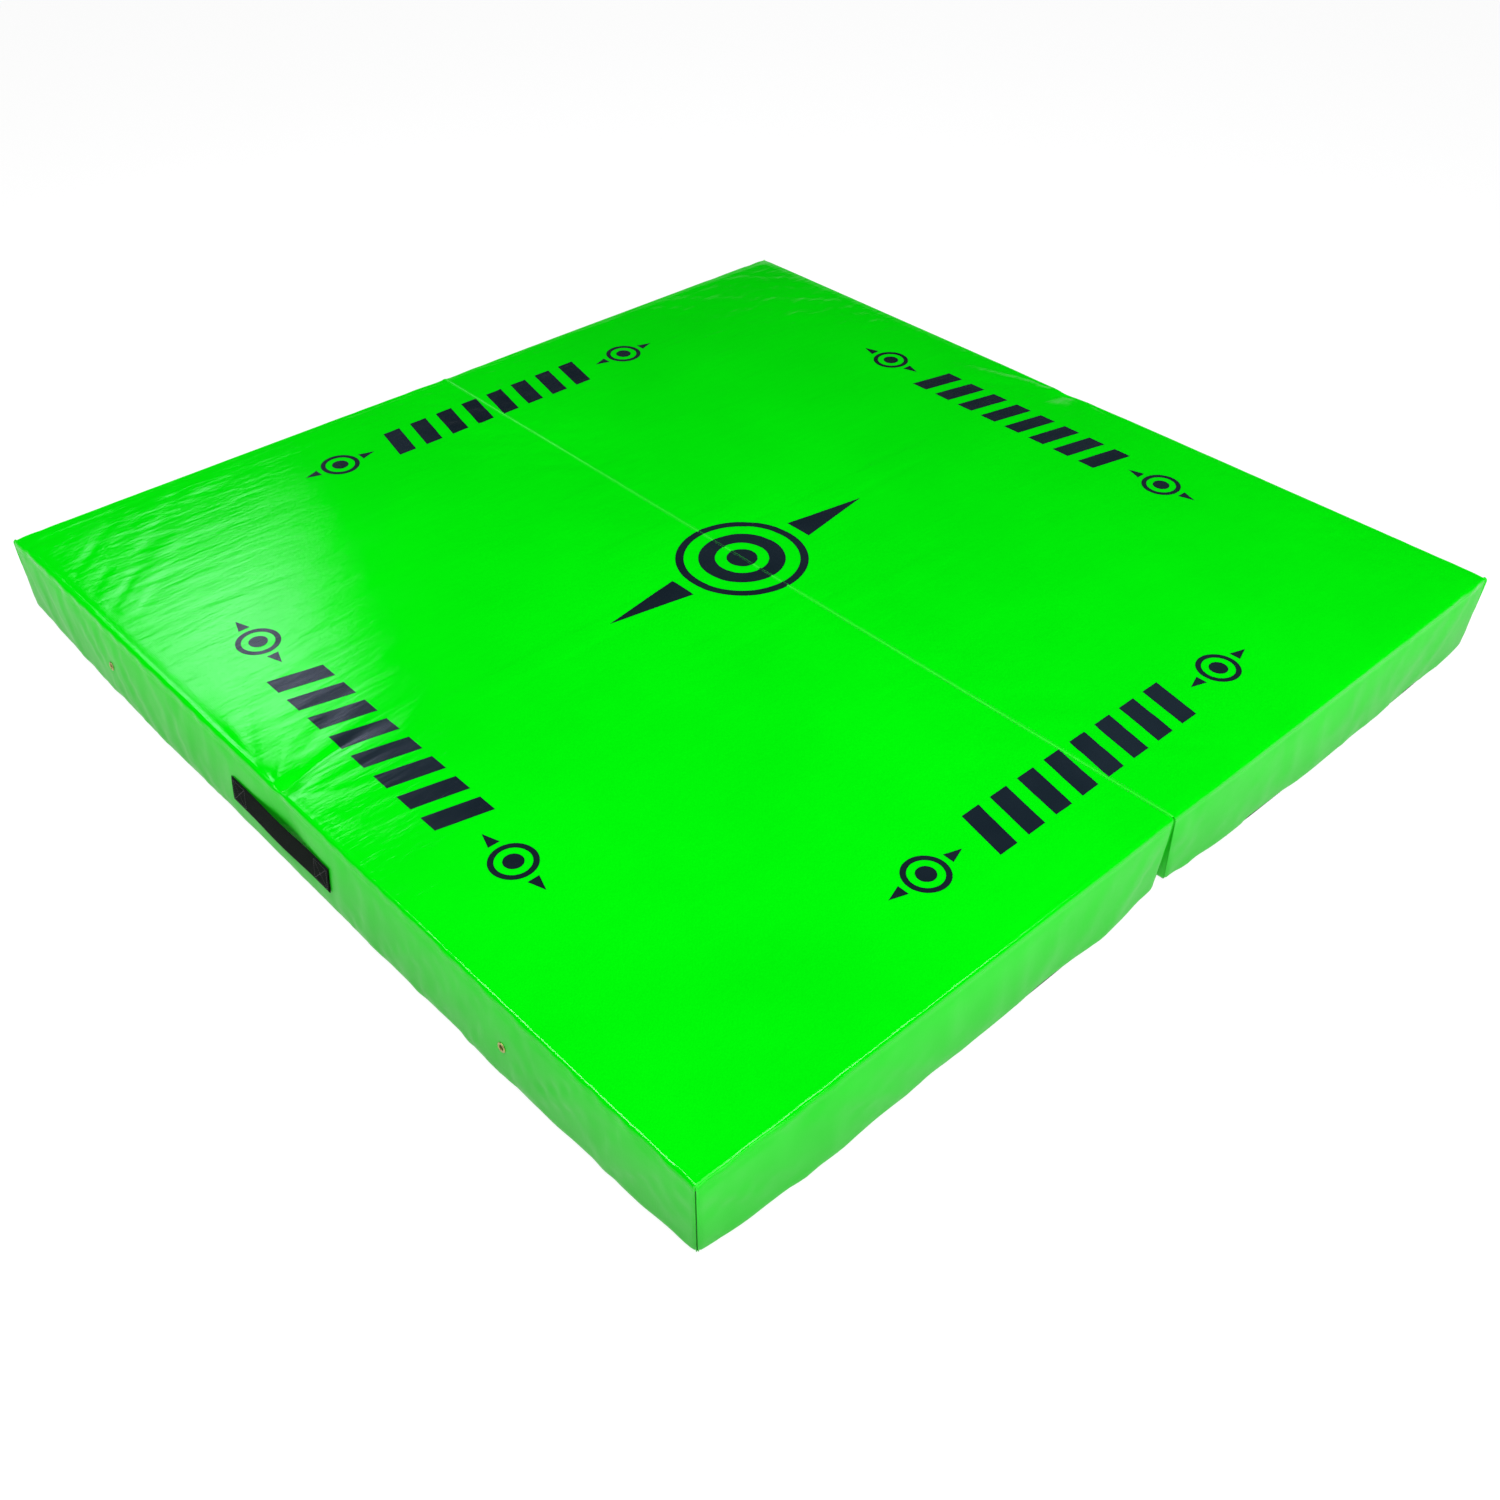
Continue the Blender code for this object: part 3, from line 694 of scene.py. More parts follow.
def settled_top(panel, end_columns, side_columns):
    """How far the simulated top moved up, at the given columns, less the sag that the whole top has."""
    if panel.settled is None:
        return 0.0
    lift = carried(SIM_ENDS, end_columns, panel.settled[TOP])
    lift = carried(SIM_SIDES, side_columns, lift.T).T
    lift = lift - SETTLED_REST * fade(SETTLED_REST_REACH - HALF * end_columns, SETTLED_REST_REACH)[:, None]
    return SETTLED_TOP_LIMIT * np.tanh(lift / SETTLED_TOP_LIMIT)


def settled_walls(panel, levels, end_columns, side_columns):
    """How far the simulated walls moved out: one row for each level. The wall in the slit isn't simulated."""
    new = wall_columns(end_columns, side_columns)
    if panel.settled is None:
        return {wall: np.zeros((len(levels), len(new[wall]))) for wall in new}
    old = wall_columns(SIM_ENDS, SIM_SIDES)
    heights = girth(levels) / girth(levels)[-1]
    sim_heights = girth(SIM_LEVELS) / girth(SIM_LEVELS)[-1]
    moved = {INNER: np.zeros((len(levels), len(side_columns)))}
    for wall in SEWN_WALLS:
        push = carried(sim_heights, heights, panel.settled[wall])
        push = carried(old[wall], new[wall], push.T).T
        moved[wall] = np.clip(push, *SETTLED_WALL_LIMITS)
    return moved


def end_fractions():
    """Columns of an end wall as shares of its length: close at the corners, wider between."""
    places = [slit(ZIP_Z)]
    for stop, count in COLUMN_STOPS:
        places += list(np.linspace(places[-1], stop, count + 1)[1:])
    return (np.array(places) - places[0]) / (places[-1] - places[0])


END_COLUMNS = end_fractions()
SIDE_FRACTIONS = np.linspace(-1, 1, SIDE_COLUMNS + 1)
LEVELS = wall_levels(WALL_ROWS, ARC_STEPS)
SIM_ENDS = np.linspace(0, 1, 39)
SIM_SIDES = np.linspace(-1, 1, 79)
SIM_LEVELS = wall_levels(SIM_ROWS, SIM_ARC_STEPS)


def shape_cover(panel):
    """Works out all the points of a panel's cover."""
    panel.top = top_points(panel, END_COLUMNS, SIDE_FRACTIONS)
    panel.walls = wall_points(panel, LEVELS, END_COLUMNS, SIDE_FRACTIONS, panel.top)


# ---- meshes ----


def make_object(name, mesh, material, body=None):
    obj = bpy.data.objects.new(name, mesh)
    bpy.context.scene.collection.objects.link(obj)
    mesh.materials.append(material)
    if body:
        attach(obj, body)
    return obj


def grid_faces(index, flat, keep=None):
    """Quads of a grid of vertex numbers, and the flat place of each of their corners."""
    low, high = slice(None, -1), slice(1, None)
    corners = ((low, low), (high, low), (high, high), (low, high))
    quads = np.stack([index[c] for c in corners], axis=-1).reshape(-1, 4)
    places = np.stack([flat[c] for c in corners], axis=-2).reshape(-1, 4, 2)
    if keep is not None:
        quads, places = quads[keep.ravel()], places[keep.ravel()]
    return quads, places


def mesh_from(name, points, quads, flat, flip=False, sharp=CRISP):
    """A mesh without unused points. flat, in metres, is where the weave and the yarns run."""
    if flip:
        quads, flat = quads[:, ::-1], flat[:, ::-1]
    used, quads = np.unique(quads, return_inverse=True)
    quads = quads.reshape(-1, 4)
    mesh = bpy.data.meshes.new(name)
    mesh.from_pydata(points[used].tolist(), [], quads.tolist())
    layer = mesh.uv_layers.new(name="flat")
    layer.data.foreach_set("uv", flat.reshape(-1).astype(np.float32))
    mesh.shade_smooth()
    mesh.set_sharp_from_angle(angle=math.radians(sharp))
    return mesh


def mesh_in_plan(name, points, faces):
    """A mesh whose flat places are its own (x, y)."""
    mesh = bpy.data.meshes.new(name)
    mesh.from_pydata(points, [], faces)
    layer = mesh.uv_layers.new(name="flat")
    flat = np.array([points[loop.vertex_index][:2] for loop in mesh.loops], np.float32)
    layer.data.foreach_set("uv", flat.reshape(-1))
    return mesh


def mesh_of(bm, name, sharp=None):
    """A smooth closed mesh. sharp is the angle, in degrees, past which its edges are crisp."""
    bmesh.ops.recalc_face_normals(bm, faces=bm.faces[:])
    mesh = bpy.data.meshes.new(name)
    bm.to_mesh(mesh)
    bm.free()
    mesh.shade_smooth()
    if sharp:
        mesh.set_sharp_from_angle(angle=math.radians(sharp))
    return mesh


def placed(panel, points):
    """(u, y, z) points in the frame."""
    return points * np.array([panel.side, 1.0, 1.0])


def grid_mesh(name, points, flat, flip=False):
    """A mesh of one grid of points."""
    index = np.arange(points.shape[0] * points.shape[1]).reshape(points.shape[:2])
    quads, places = grid_faces(index, flat)
    return mesh_from(name, points.reshape(-1, 3), quads, places, flip)


def weld(mesh, distance, outward=False):
    """Joins points closer than this distance."""
    bm = bmesh.new()
    bm.from_mesh(mesh)
    bmesh.ops.remove_doubles(bm, verts=bm.verts[:], dist=distance)
    if outward:
        bmesh.ops.recalc_face_normals(bm, faces=bm.faces[:])
    bm.to_mesh(mesh)
    bm.free()


def turned_mesh(name, profile, place, sides, closed=True):
    """A shape turned from a profile of (radius, height) points about the place's Z axis."""
    rows = []
    for i in range(sides + 1):
        angle = 2 * math.pi * i / sides
        turn = Vector((math.cos(angle), math.sin(angle)))
        rows.append([tuple(place @ Vector((*(turn * r), h))) for r, h in profile])
    points = np.array(rows)
    if closed:
        points = np.concatenate([points, points[:, :1]], axis=1)
    mesh = grid_mesh(name, points, np.zeros((*points.shape[:2], 2)))
    weld(mesh, 1e-7, outward=True)
    return mesh


def thicken(obj, thickness):
    """Gives a sheet its thickness, inwards from its face, and crisp rims."""
    modifier = obj.modifiers.new("thickness", "SOLIDIFY")
    modifier.thickness = thickness
    modifier.offset = -1.0
    modifier.use_even_offset = False
    bpy.context.view_layer.update()
    evaluated = obj.evaluated_get(bpy.context.evaluated_depsgraph_get())
    mesh = bpy.data.meshes.new_from_object(evaluated)
    obj.modifiers.clear()
    obj.data = mesh
    mesh.set_sharp_from_angle(angle=math.radians(CRISP_RIM))


def eyelet_hole(wall, columns, rows):
    """Opens the outer wall's grid round each eyelet: moves the corners next to it onto a circle."""
    keep = np.ones((len(rows) - 1, len(columns) - 1), bool)
    row = int(np.argmin(np.abs(rows - EYELET_Z)))
    for y in (-EYELET_Y, EYELET_Y):
        column = int(np.argmin(np.abs(columns - y)))
        keep[row - 1:row + 1, column - 1:column + 1] = False
        for i in (-1, 0, 1):
            for j in (-1, 0, 1):
                if i or j:
                    point = wall[row + i, column + j]
                    away = np.array([point[1] - y, point[2] - EYELET_Z])
                    away *= EYELET_CUT_R / np.linalg.norm(away)
                    point[1], point[2] = y + away[0], EYELET_Z + away[1]
    return keep


def zip_slot(rows):
    """Which cells of the far wall stay round the zip's slot."""
    keep = np.ones((len(rows) - 1, len(END_COLUMNS) - 1), bool)
    u = slit(ZIP_Z) + (HALF - slit(ZIP_Z)) * END_COLUMNS[::-1]
    across = (u[:-1] + u[1:]) / 2
    height = (rows[:-1] + rows[1:]) / 2
    inside_x = (across > ZIP_X[0]) & (across < ZIP_X[1])
    inside_z = (height > ZIP_SLOT[0]) & (height < ZIP_SLOT[1])
    keep[np.ix_(inside_z, inside_x)] = False
    return keep


def join_grids(top, walls, levels, keeps):
    """Points, quads and flat places of a top and its walls, which share the top's border, and each grid's
    numbers."""
    count = top.shape[0] * top.shape[1]
    index = {TOP: np.arange(count).reshape(top.shape[:2])}
    border = borders(index[TOP])
    quads, flats = grid_faces(index[TOP], top[..., :2])
    points, all_quads, all_flats = [top.reshape(-1, 3)], [quads[:, ::-1]], [flats[:, ::-1]]
    heights = girth(levels)
    for wall in SEWN_WALLS:
        grid = walls[wall]
        own = count + np.arange(grid[:-1, :, 0].size).reshape(grid.shape[0] - 1, -1)
        count += own.size
        points.append(grid[:-1].reshape(-1, 3))
        index[wall] = np.vstack([own, border[wall]])
        along = grid[..., 1] if wall == OUTER else grid[..., 0]
        flat = np.stack([along, np.broadcast_to(heights[:, None], along.shape)], -1)
        quads, flats = grid_faces(index[wall], flat, keeps.get(wall))
        all_quads.append(quads)
        all_flats.append(flats)
    return np.concatenate(points), np.concatenate(all_quads), np.concatenate(all_flats), index


def make_cover(panel, materials):
    """The top, the outer wall and both end walls, as one skin with its openings."""
    rows = np.array([z for z, _, _ in LEVELS])
    keeps = {OUTER: eyelet_hole(panel.walls[OUTER], HALF * SIDE_FRACTIONS, rows), FAR: zip_slot(rows)}
    points, quads, flats, _ = join_grids(panel.top, panel.walls, LEVELS, keeps)
    mesh = mesh_from("cover_" + panel.tag, placed(panel, points), quads, flats, panel.side > 0)
    weld(mesh, 1e-6)
    cover = make_object("vinyl_cover_" + panel.tag, mesh, materials["pvc"], panel.body)
    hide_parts("cover_shell_" + panel.tag)
    thicken(cover, COVER_T)


def make_inner_wall(panel, materials):
    """The wall that faces the slit."""
    grid = panel.walls[INNER]
    heights = girth(LEVELS)
    flat = np.stack([grid[..., 1], np.broadcast_to(heights[:, None], grid.shape[:2])], -1)
    mesh = grid_mesh("inner_wall_" + panel.tag, placed(panel, grid), flat, panel.side > 0)
    wall = make_object("slit_wall_" + panel.tag, mesh, materials["pvc"], panel.body)
    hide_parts("inner_wall_" + panel.tag)
    thicken(wall, COVER_T)


# ---- settling of the cover ----


def plain_object(name, points, quads):
    mesh = bpy.data.meshes.new(name)
    mesh.from_pydata(points.tolist(), [], quads.tolist())
    obj = bpy.data.objects.new(name, mesh)
    bpy.context.scene.collection.objects.link(obj)
    return obj


def sim_grids(panel, depth):
    """A plain cover, or the foam this far inside it, on the coarse grid, with coinciding points merged."""
    top = top_points(panel, SIM_ENDS, SIM_SIDES, relief=False, depth=depth)
    walls = wall_points(panel, SIM_LEVELS, SIM_ENDS, SIM_SIDES, top, relief=False, depth=depth)
    points, quads, _, index = join_grids(top, walls, SIM_LEVELS, {})
    points, where = np.unique(np.round(points, 6), axis=0, return_inverse=True)
    where = where.ravel()
    return points, where[quads][:, ::-1], {grid: where[numbers] for grid, numbers in index.items()}


def sewn_points(index):
    """Points that stay put: the fold edge, the hem and the corners."""
    held = [index[TOP][0]]
    for wall in SEWN_WALLS:
        held += [index[wall][0], index[wall][:, 0], index[wall][:, -1]]
    return np.unique(np.concatenate(held)).tolist()


def set_values(settings, values):
    for name, value in values.items():
        setattr(settings, name, value)


def add_cloth(cover):
    cloth = cover.modifiers.new("settle", "CLOTH")
    set_values(cloth.settings, CLOTH)
    set_values(cloth.collision_settings, CLOTH_COLLISION)
    cloth.point_cache.frame_end = SIM_FRAMES


def run_frames(obj):
    """Plays the simulation and returns where the object's points end."""
    for frame in range(1, SIM_FRAMES + 1):
        bpy.context.scene.frame_set(frame)
    evaluated = obj.evaluated_get(bpy.context.evaluated_depsgraph_get())
    ends = np.empty(len(evaluated.data.vertices) * 3)
    evaluated.data.vertices.foreach_get("co", ends)
    bpy.context.scene.frame_set(1)
    return ends.reshape(-1, 3)


def settle_cover(panel):
    """Lets a slightly loose cover settle over the foam, and keeps how far its grids moved."""
    points, quads, index = sim_grids(panel, 0.0)
    free = points.copy()
    across, along = points[:, 0] / SIM_STIR_CELL, points[:, 1] / SIM_STIR_CELL
    free[:, 2] += SIM_STIR * lattice_noise(panel.seed + SIM_SEED, across, along)
    cover = plain_object("settling_cover", free, quads)
    cover.vertex_groups.new(name="sewn").add(sewn_points(index), 1.0, "REPLACE")
    foam = plain_object("settling_foam", *sim_grids(panel, SIM_GAP)[:2])
    foam.modifiers.new("firm", "COLLISION")
    set_values(foam.collision, FOAM_COLLISION)
    add_cloth(cover)
    moved = run_frames(cover) - points
    panel.settled = {TOP: moved[index[TOP], 2]}
    for wall in SEWN_WALLS:
        panel.settled[wall] = moved[index[wall]][..., :2] @ np.array(OUTWARD[wall])
    for obj in (cover, foam):
        bpy.data.objects.remove(obj)


# ---- materials ----


class Graph:
    """Short calls for the nodes of one material."""

    def __init__(self, name, **sockets):
        self.material = bpy.data.materials.new(name)
        self.material.use_nodes = True
        self.tree = self.material.node_tree
        self.shader = self.tree.nodes["Principled BSDF"]
        for socket, value in sockets.items():
            self.shader.inputs[socket.replace("_", " ")].default_value = value

    def join(self, node, sockets):
        """Gives each of a node's sockets a link or a value."""
        for socket, value in sockets.items():
            if isinstance(value, bpy.types.NodeSocket):
                self.tree.links.new(value, node.inputs[socket])
            else:
                node.inputs[socket].default_value = value

    def node(self, kind, sockets, **settings):
        made = self.tree.nodes.new("ShaderNode" + kind)
        set_values(made, settings)
        self.join(made, sockets)
        return made

    def math(self, operation, first, second=0.0):
        return self.node("Math", {0: first, 1: second}, operation=operation).outputs[0]

    def flat(self):
        """The piece's flat place, in metres, as two numbers."""
        place = self.node("UVMap", {}, uv_map="flat").outputs[0]
        return self.node("SeparateXYZ", {0: place}).outputs[:2]

    def place(self):
        return self.node("TexCoord", {}).outputs["Object"]

    def axes(self):
        """The place's x, y and z, in metres."""
        return self.node("SeparateXYZ", {0: self.place()}).outputs[:3]

    def scaled(self, *scale):
        """The place, with its axes scaled, so that a noise is drawn out."""
        return self.node("Mapping", {"Vector": self.place(), "Scale": scale}).outputs[0]

    def noise(self, scale, detail=2.0, where=None, roughness=0.5):
        sockets = {"Scale": scale, "Detail": detail, "Roughness": roughness}
        sockets["Vector"] = where or self.place()
        return self.node("TexNoise", sockets).outputs[0]

    def spread(self, value, source, target=(0.0, 1.0)):
        """A value moved from one range to another."""
        sockets = dict(enumerate((value, *source, *target)))
        return self.node("MapRange", sockets).outputs[0]

    def mix(self, share, first, second):
        return self.node("Mix", {0: share, 6: first, 7: second}, data_type="RGBA").outputs[2]

    def waves(self, along, pitch):
        """A sine wave of this pitch, in metres."""
        return self.math("SINE", self.math("MULTIPLY", along, 2 * math.pi / pitch))

    def bump(self, height, distance, below=None):
        sockets = {"Height": height, "Distance": distance}
        if below is not None:
            sockets["Normal"] = below
        return self.node("Bump", sockets).outputs[0]

    def finished(self, colour, roughness, normal):
        """The material, with these three joined to its shader."""
        self.join(self.shader, {"Base Color": colour, "Roughness": roughness, "Normal": normal})
        return self.material


def rgb(red, green, blue):
    return (red, green, blue, 1.0)


def scrim(graph):
    """The woven scrim that shows through the vinyl's face."""
    u, v = graph.flat()
    return graph.math("ADD", graph.waves(u, SCRIM_PITCH), graph.waves(v, SCRIM_PITCH))


def vinyl_colour(graph, height, light, dark):
    """Slightly cloudy, with painted shade: darker and greyer towards the floor."""
    clouds = graph.noise(3.5, 3.0)
    clean = graph.mix(graph.spread(clouds, (0.35, 0.65)), light, dark)
    # painted shade at the foot of the walls: darker and greyer towards the floor
    towards_floor = graph.spread(height, (0.0, FOOT_SHADE_TOP_Z), (FOOT_SHADE_SHARE, 0.0))
    foot_shade = graph.math("ADD", towards_floor, graph.math("MULTIPLY", clouds, CLOUD_SHADE_SPREAD))
    foot_shade = graph.math("MULTIPLY", foot_shade, graph.spread(height, (FOOT_SHADE_TOP_Z, THICK), (1.0, 0.0)))
    foot = rgb(*(FOOT_SHADE_TONE * (low + high) / 2 + FOOT_SHADE_GREY for low, high in zip(dark[:3], light[:3])))
    return graph.mix(foot_shade, clean, foot)


def vinyl_gloss(graph, height, roughness):
    """Rubbed patches, and scuffed walls."""
    rubbed = graph.noise(14.0, 5.0, roughness=0.65)
    rubbed = graph.spread(rubbed, (0.35, 0.75), (roughness - 0.03, roughness + 0.06))
    return graph.math("ADD", rubbed, graph.spread(height, SCUFF_Z, (WALL_SCUFFS, 0.0)))


def vinyl_relief(graph, height):
    """Small creases, mostly on the top, then softness, the scrim and a fine grain."""
    on_top = graph.spread(height, CREASED_Z, (0.12, 1.0))
    creased = graph.math("SUBTRACT", graph.noise(75.0, 2.5, where=graph.scaled(0.22, 1.0, 0.3)), 0.5)
    creases = graph.bump(graph.math("MULTIPLY", creased, on_top), 0.0006)
    soft = graph.bump(graph.noise(170.0, 3.0), 0.00014, creases)
    woven = graph.bump(scrim(graph), 0.000016, soft)
    return graph.bump(graph.noise(900.0), 0.000018, woven)


def coated_fabric(name, light, dark, roughness):
    """Glossy coated vinyl."""
    graph = Graph(name, Roughness=roughness, IOR=1.5, Specular_IOR_Level=0.27)
    height = graph.axes()[2]
    colour = vinyl_colour(graph, height, light, dark)
    return graph.finished(colour, vinyl_gloss(graph, height, roughness), vinyl_relief(graph, height))


def webbing_material():
    """Black webbing: a flat warp of ribs with the weft across them, dusty on its high yarns."""
    graph = Graph("black_webbing", IOR=1.45, Specular_IOR_Level=0.05)
    u, v = graph.flat()
    warp = graph.waves(v, RIB_PITCH)
    shift = graph.math("MULTIPLY", graph.math("SIGN", graph.waves(v, 2 * RIB_PITCH)), WEFT_SHIFT)
    weft = graph.waves(graph.math("ADD", u, shift), WEFT_PITCH)
    height = graph.math("ADD", graph.math("ABSOLUTE", warp), graph.math("MULTIPLY", weft, WEFT_H))
    fibres = graph.noise(1400.0)
    dust = graph.spread(graph.math("ADD", height, fibres), (0.6, 2.0))
    colour = graph.mix(dust, rgb(0.0012, 0.0022, 0.0016), rgb(0.009, 0.017, 0.012))
    roughness = graph.spread(fibres, (0.3, 0.7), (0.72, 0.9))
    return graph.finished(colour, roughness, graph.bump(fibres, 0.0001, graph.bump(height, 0.0003)))


def base_material():
    """Black non-slip cloth: rows of small rubber dots on a dull knit."""
    graph = Graph("black_nonslip_base", IOR=1.5)
    u, v = graph.flat()
    dots = graph.math("MULTIPLY", graph.waves(u, DOT_PITCH), graph.waves(v, DOT_PITCH))
    dots = graph.spread(dots, (0.35, 0.6))
    colour = graph.mix(dots, rgb(0.016, 0.016, 0.018), rgb(0.030, 0.030, 0.032))
    normal = graph.bump(graph.noise(700.0, 3.0), 0.0002, graph.bump(dots, 0.0004))
    return graph.finished(colour, graph.spread(dots, (0.0, 1.0), (0.85, 0.55)), normal)


def foam_material():
    """Open-cell foam, with a few darker cells."""
    graph = Graph("foam_block", IOR=1.4)
    cells = graph.node("TexVoronoi", {"Scale": 450.0, "Vector": graph.place()}).outputs[0]
    blotch = graph.spread(graph.noise(9.0, 4.0), (0.3, 0.7))
    light = graph.mix(blotch, rgb(0.80, 0.78, 0.64), rgb(0.72, 0.69, 0.54))
    colour = graph.mix(graph.spread(cells, (0.0, 0.35), (0.35, 0.0)), light, rgb(0.45, 0.42, 0.30))
    return graph.finished(colour, graph.spread(cells, (0.0, 0.6), (0.98, 0.85)), graph.bump(cells, 0.0006))


def metal_material(name, bright, dull, roughness):
    """Worn plated metal: fine scratches, and duller patches."""
    graph = Graph(name, Metallic=1.0)
    scratches = graph.noise(900.0, where=graph.scaled(1.0, 1.0, 14.0))
    colour = graph.mix(graph.spread(graph.noise(160.0, 4.0), (0.4, 0.7)), bright, dull)
    roughness = graph.spread(scratches, (0.3, 0.7), (roughness, roughness + 0.18))
    return graph.finished(colour, roughness, graph.bump(scratches, 0.00002))


def tape_material():
    """Twill of the zip's tapes."""
    graph = Graph("zip_tape_twill", IOR=1.45)
    x, _, z = graph.axes()
    twill = graph.waves(graph.math("ADD", x, z), TWILL_PITCH)
    colour = graph.mix(graph.spread(twill, (-1, 1)), rgb(0.010, 0.010, 0.011), rgb(0.030, 0.030, 0.032))
    roughness = graph.spread(graph.noise(500.0), (0.3, 0.7), (0.75, 0.92))
    return graph.finished(colour, roughness, graph.bump(twill, 0.0001))


def nylon_material():
    """Smooth nylon of the zip's coils."""
    graph = Graph("zip_coil_nylon", IOR=1.53)
    grain = graph.noise(420.0, 3.0)
    colour = graph.mix(grain, rgb(0.014, 0.014, 0.016), rgb(0.035, 0.035, 0.038))
    return graph.finished(colour, graph.spread(grain, (0.3, 0.7), (0.32, 0.5)), graph.bump(grain, 0.00003))


def thread_material(name, light, dark):
    """Twisted sewing thread."""
    graph = Graph(name, IOR=1.5, Sheen_Weight=0.2)
    x, y, z = graph.axes()
    twist = graph.waves(graph.math("ADD", x, graph.math("ADD", y, z)), TWIST_PITCH)
    roughness = graph.spread(graph.noise(600.0), (0.3, 0.7), (0.5, 0.7))
    colour = graph.mix(graph.spread(twist, (-1, 1)), dark, light)
    return graph.finished(colour, roughness, graph.bump(twist, 0.0001))


def floor_material():
    """A pale studio sweep that glows a little, so that it stays even, and greys as it climbs."""
    graph = Graph("pale_floor", Roughness=0.9, Specular_IOR_Level=0.1)
    colours = {"Base Color": rgb(0.15, 0.15, 0.15), "Emission Color": rgb(1.0, 1.0, 1.0)}
    glow = graph.spread(graph.axes()[2], (0.0, SWEEP_GREY_Z), (FLOOR_GLOW, SWEEP_GLOW))
    graph.join(graph.shader, {**colours, "Emission Strength": glow})
    return graph.material


def make_materials():
    vinyls = {
        "pvc": ("green_vinyl", rgb(0.0, 0.78, 0.002), rgb(0.0, 0.73, 0.002), 0.08),
        "pvc_plain": ("green_vinyl_binding", rgb(0.0, 0.76, 0.002), rgb(0.0, 0.70, 0.002), 0.22),
        # The seam binding is painted a paler green than the cover: a painted highlight along the fold and the
        # outer corner ridges
        "seam": ("pale_seam_binding", rgb(0.02, 0.80, 0.02), rgb(0.01, 0.74, 0.01), 0.30),
        "print": ("print_ink", rgb(0.006, 0.012, 0.018), rgb(0.010, 0.018, 0.026), 0.22),
    }
    metals = {
        "brass": ("eyelet_brass", rgb(0.48, 0.46, 0.16), rgb(0.24, 0.23, 0.08), 0.30),
        "zip_metal": ("zip_metal", rgb(0.60, 0.60, 0.62), rgb(0.36, 0.36, 0.38), 0.25),
    }
    threads = {
        "green_thread": ("green_thread", rgb(0.01, 0.60, 0.02), rgb(0.0, 0.38, 0.01)),
        # The corner thread is painted very dark: painted shade in the groove of the outer corner ridges
        "groove_shade_thread": ("dark_green_thread", rgb(0.0, 0.10, 0.01), rgb(0.0, 0.04, 0.004)),
        "black_thread": ("black_thread", rgb(0.035, 0.034, 0.042), rgb(0.008, 0.008, 0.010)),
    }
    made = {"base": base_material(), "foam": foam_material(), "webbing": webbing_material()}
    made.update(tape=tape_material(), coil=nylon_material())
    for make, finishes in ((coated_fabric, vinyls), (metal_material, metals), (thread_material, threads)):
        made.update({key: make(*finish) for key, finish in finishes.items()})
    return made


# ---- light, floor and camera ----


def area_light(name, place, target, size, radiance, colour):
    """A soft box of this radiance, facing its target."""
    light = bpy.data.lights.new(name, "AREA")
    light.shape = "RECTANGLE"
    light.size, light.size_y = size
    light.energy = math.pi * size[0] * size[1] * radiance
    light.color = colour
    obj = bpy.data.objects.new(name, light)
    obj.location = place
    obj.rotation_euler = (Vector(target) - Vector(place)).to_track_quat("-Z", "Y").to_euler()
    bpy.context.scene.collection.objects.link(obj)


def make_world():
    world = bpy.data.worlds.new("dim_studio")
    world.use_nodes = True
    background = world.node_tree.nodes["Background"]
    background.inputs["Color"].default_value = rgb(0.9, 0.95, 1.0)
    background.inputs["Strength"].default_value = 0.01
    bpy.context.scene.world = world


def make_floor():
    """A round floor that sweeps up into a low backdrop, far enough out to stay off the mat's shiny top."""
    turns = np.linspace(0, math.pi / 2, SWEEP_STEPS)
    sweep = [(FLOOR_R + SWEEP_R * math.sin(t), SWEEP_R * (1 - math.cos(t))) for t in turns]
    place = Matrix.Translation((0, 0, -FLOOR_DROP))
    mesh = turned_mesh("floor", [(0.0, 0.0), (FLOOR_R / 2, 0.0), *sweep], place, FLOOR_SIDES, closed=False)
    make_object("studio_floor", mesh, floor_material())


def make_camera():
    camera = bpy.data.cameras.new("photo_camera")
    set_values(camera, {"sensor_width": SENSOR_MM, "lens": LENS_MM, "clip_start": CLIP_START})
    obj = bpy.data.objects.new("photo_camera", camera)
    obj.location = CAMERA_PLACE
    obj.rotation_euler = [math.radians(angle) for angle in CAMERA_TURN]
    bpy.context.scene.collection.objects.link(obj)
    bpy.context.scene.camera = obj


def set_view():
    settings = {"view_transform": "Standard", "look": "None", "exposure": 0.0}
    set_values(bpy.context.scene.view_settings, settings)


# ---- prints ----


def ring_polygons(centre, inner, outer, steps):
    """Quads of a ring, or triangles of a disc where inner is 0."""
    polygons = []
    for i in range(steps):
        a, b = (2 * math.pi * k / steps for k in (i, i + 1))
        corners = [
            (centre[0] + radius * math.cos(angle), centre[1] + radius * math.sin(angle))
            for radius, angle in ((inner, a), (outer, a), (outer, b), (inner, b))
        ]
        polygons.append(corners if inner > 0 else [*corners[1:3], centre])
    return polygons


def pointer(root, tip, middle, half_w):
    """A triangle that points along the row."""
    return [[(root, middle - half_w), (tip, middle), (root, middle + half_w)]]


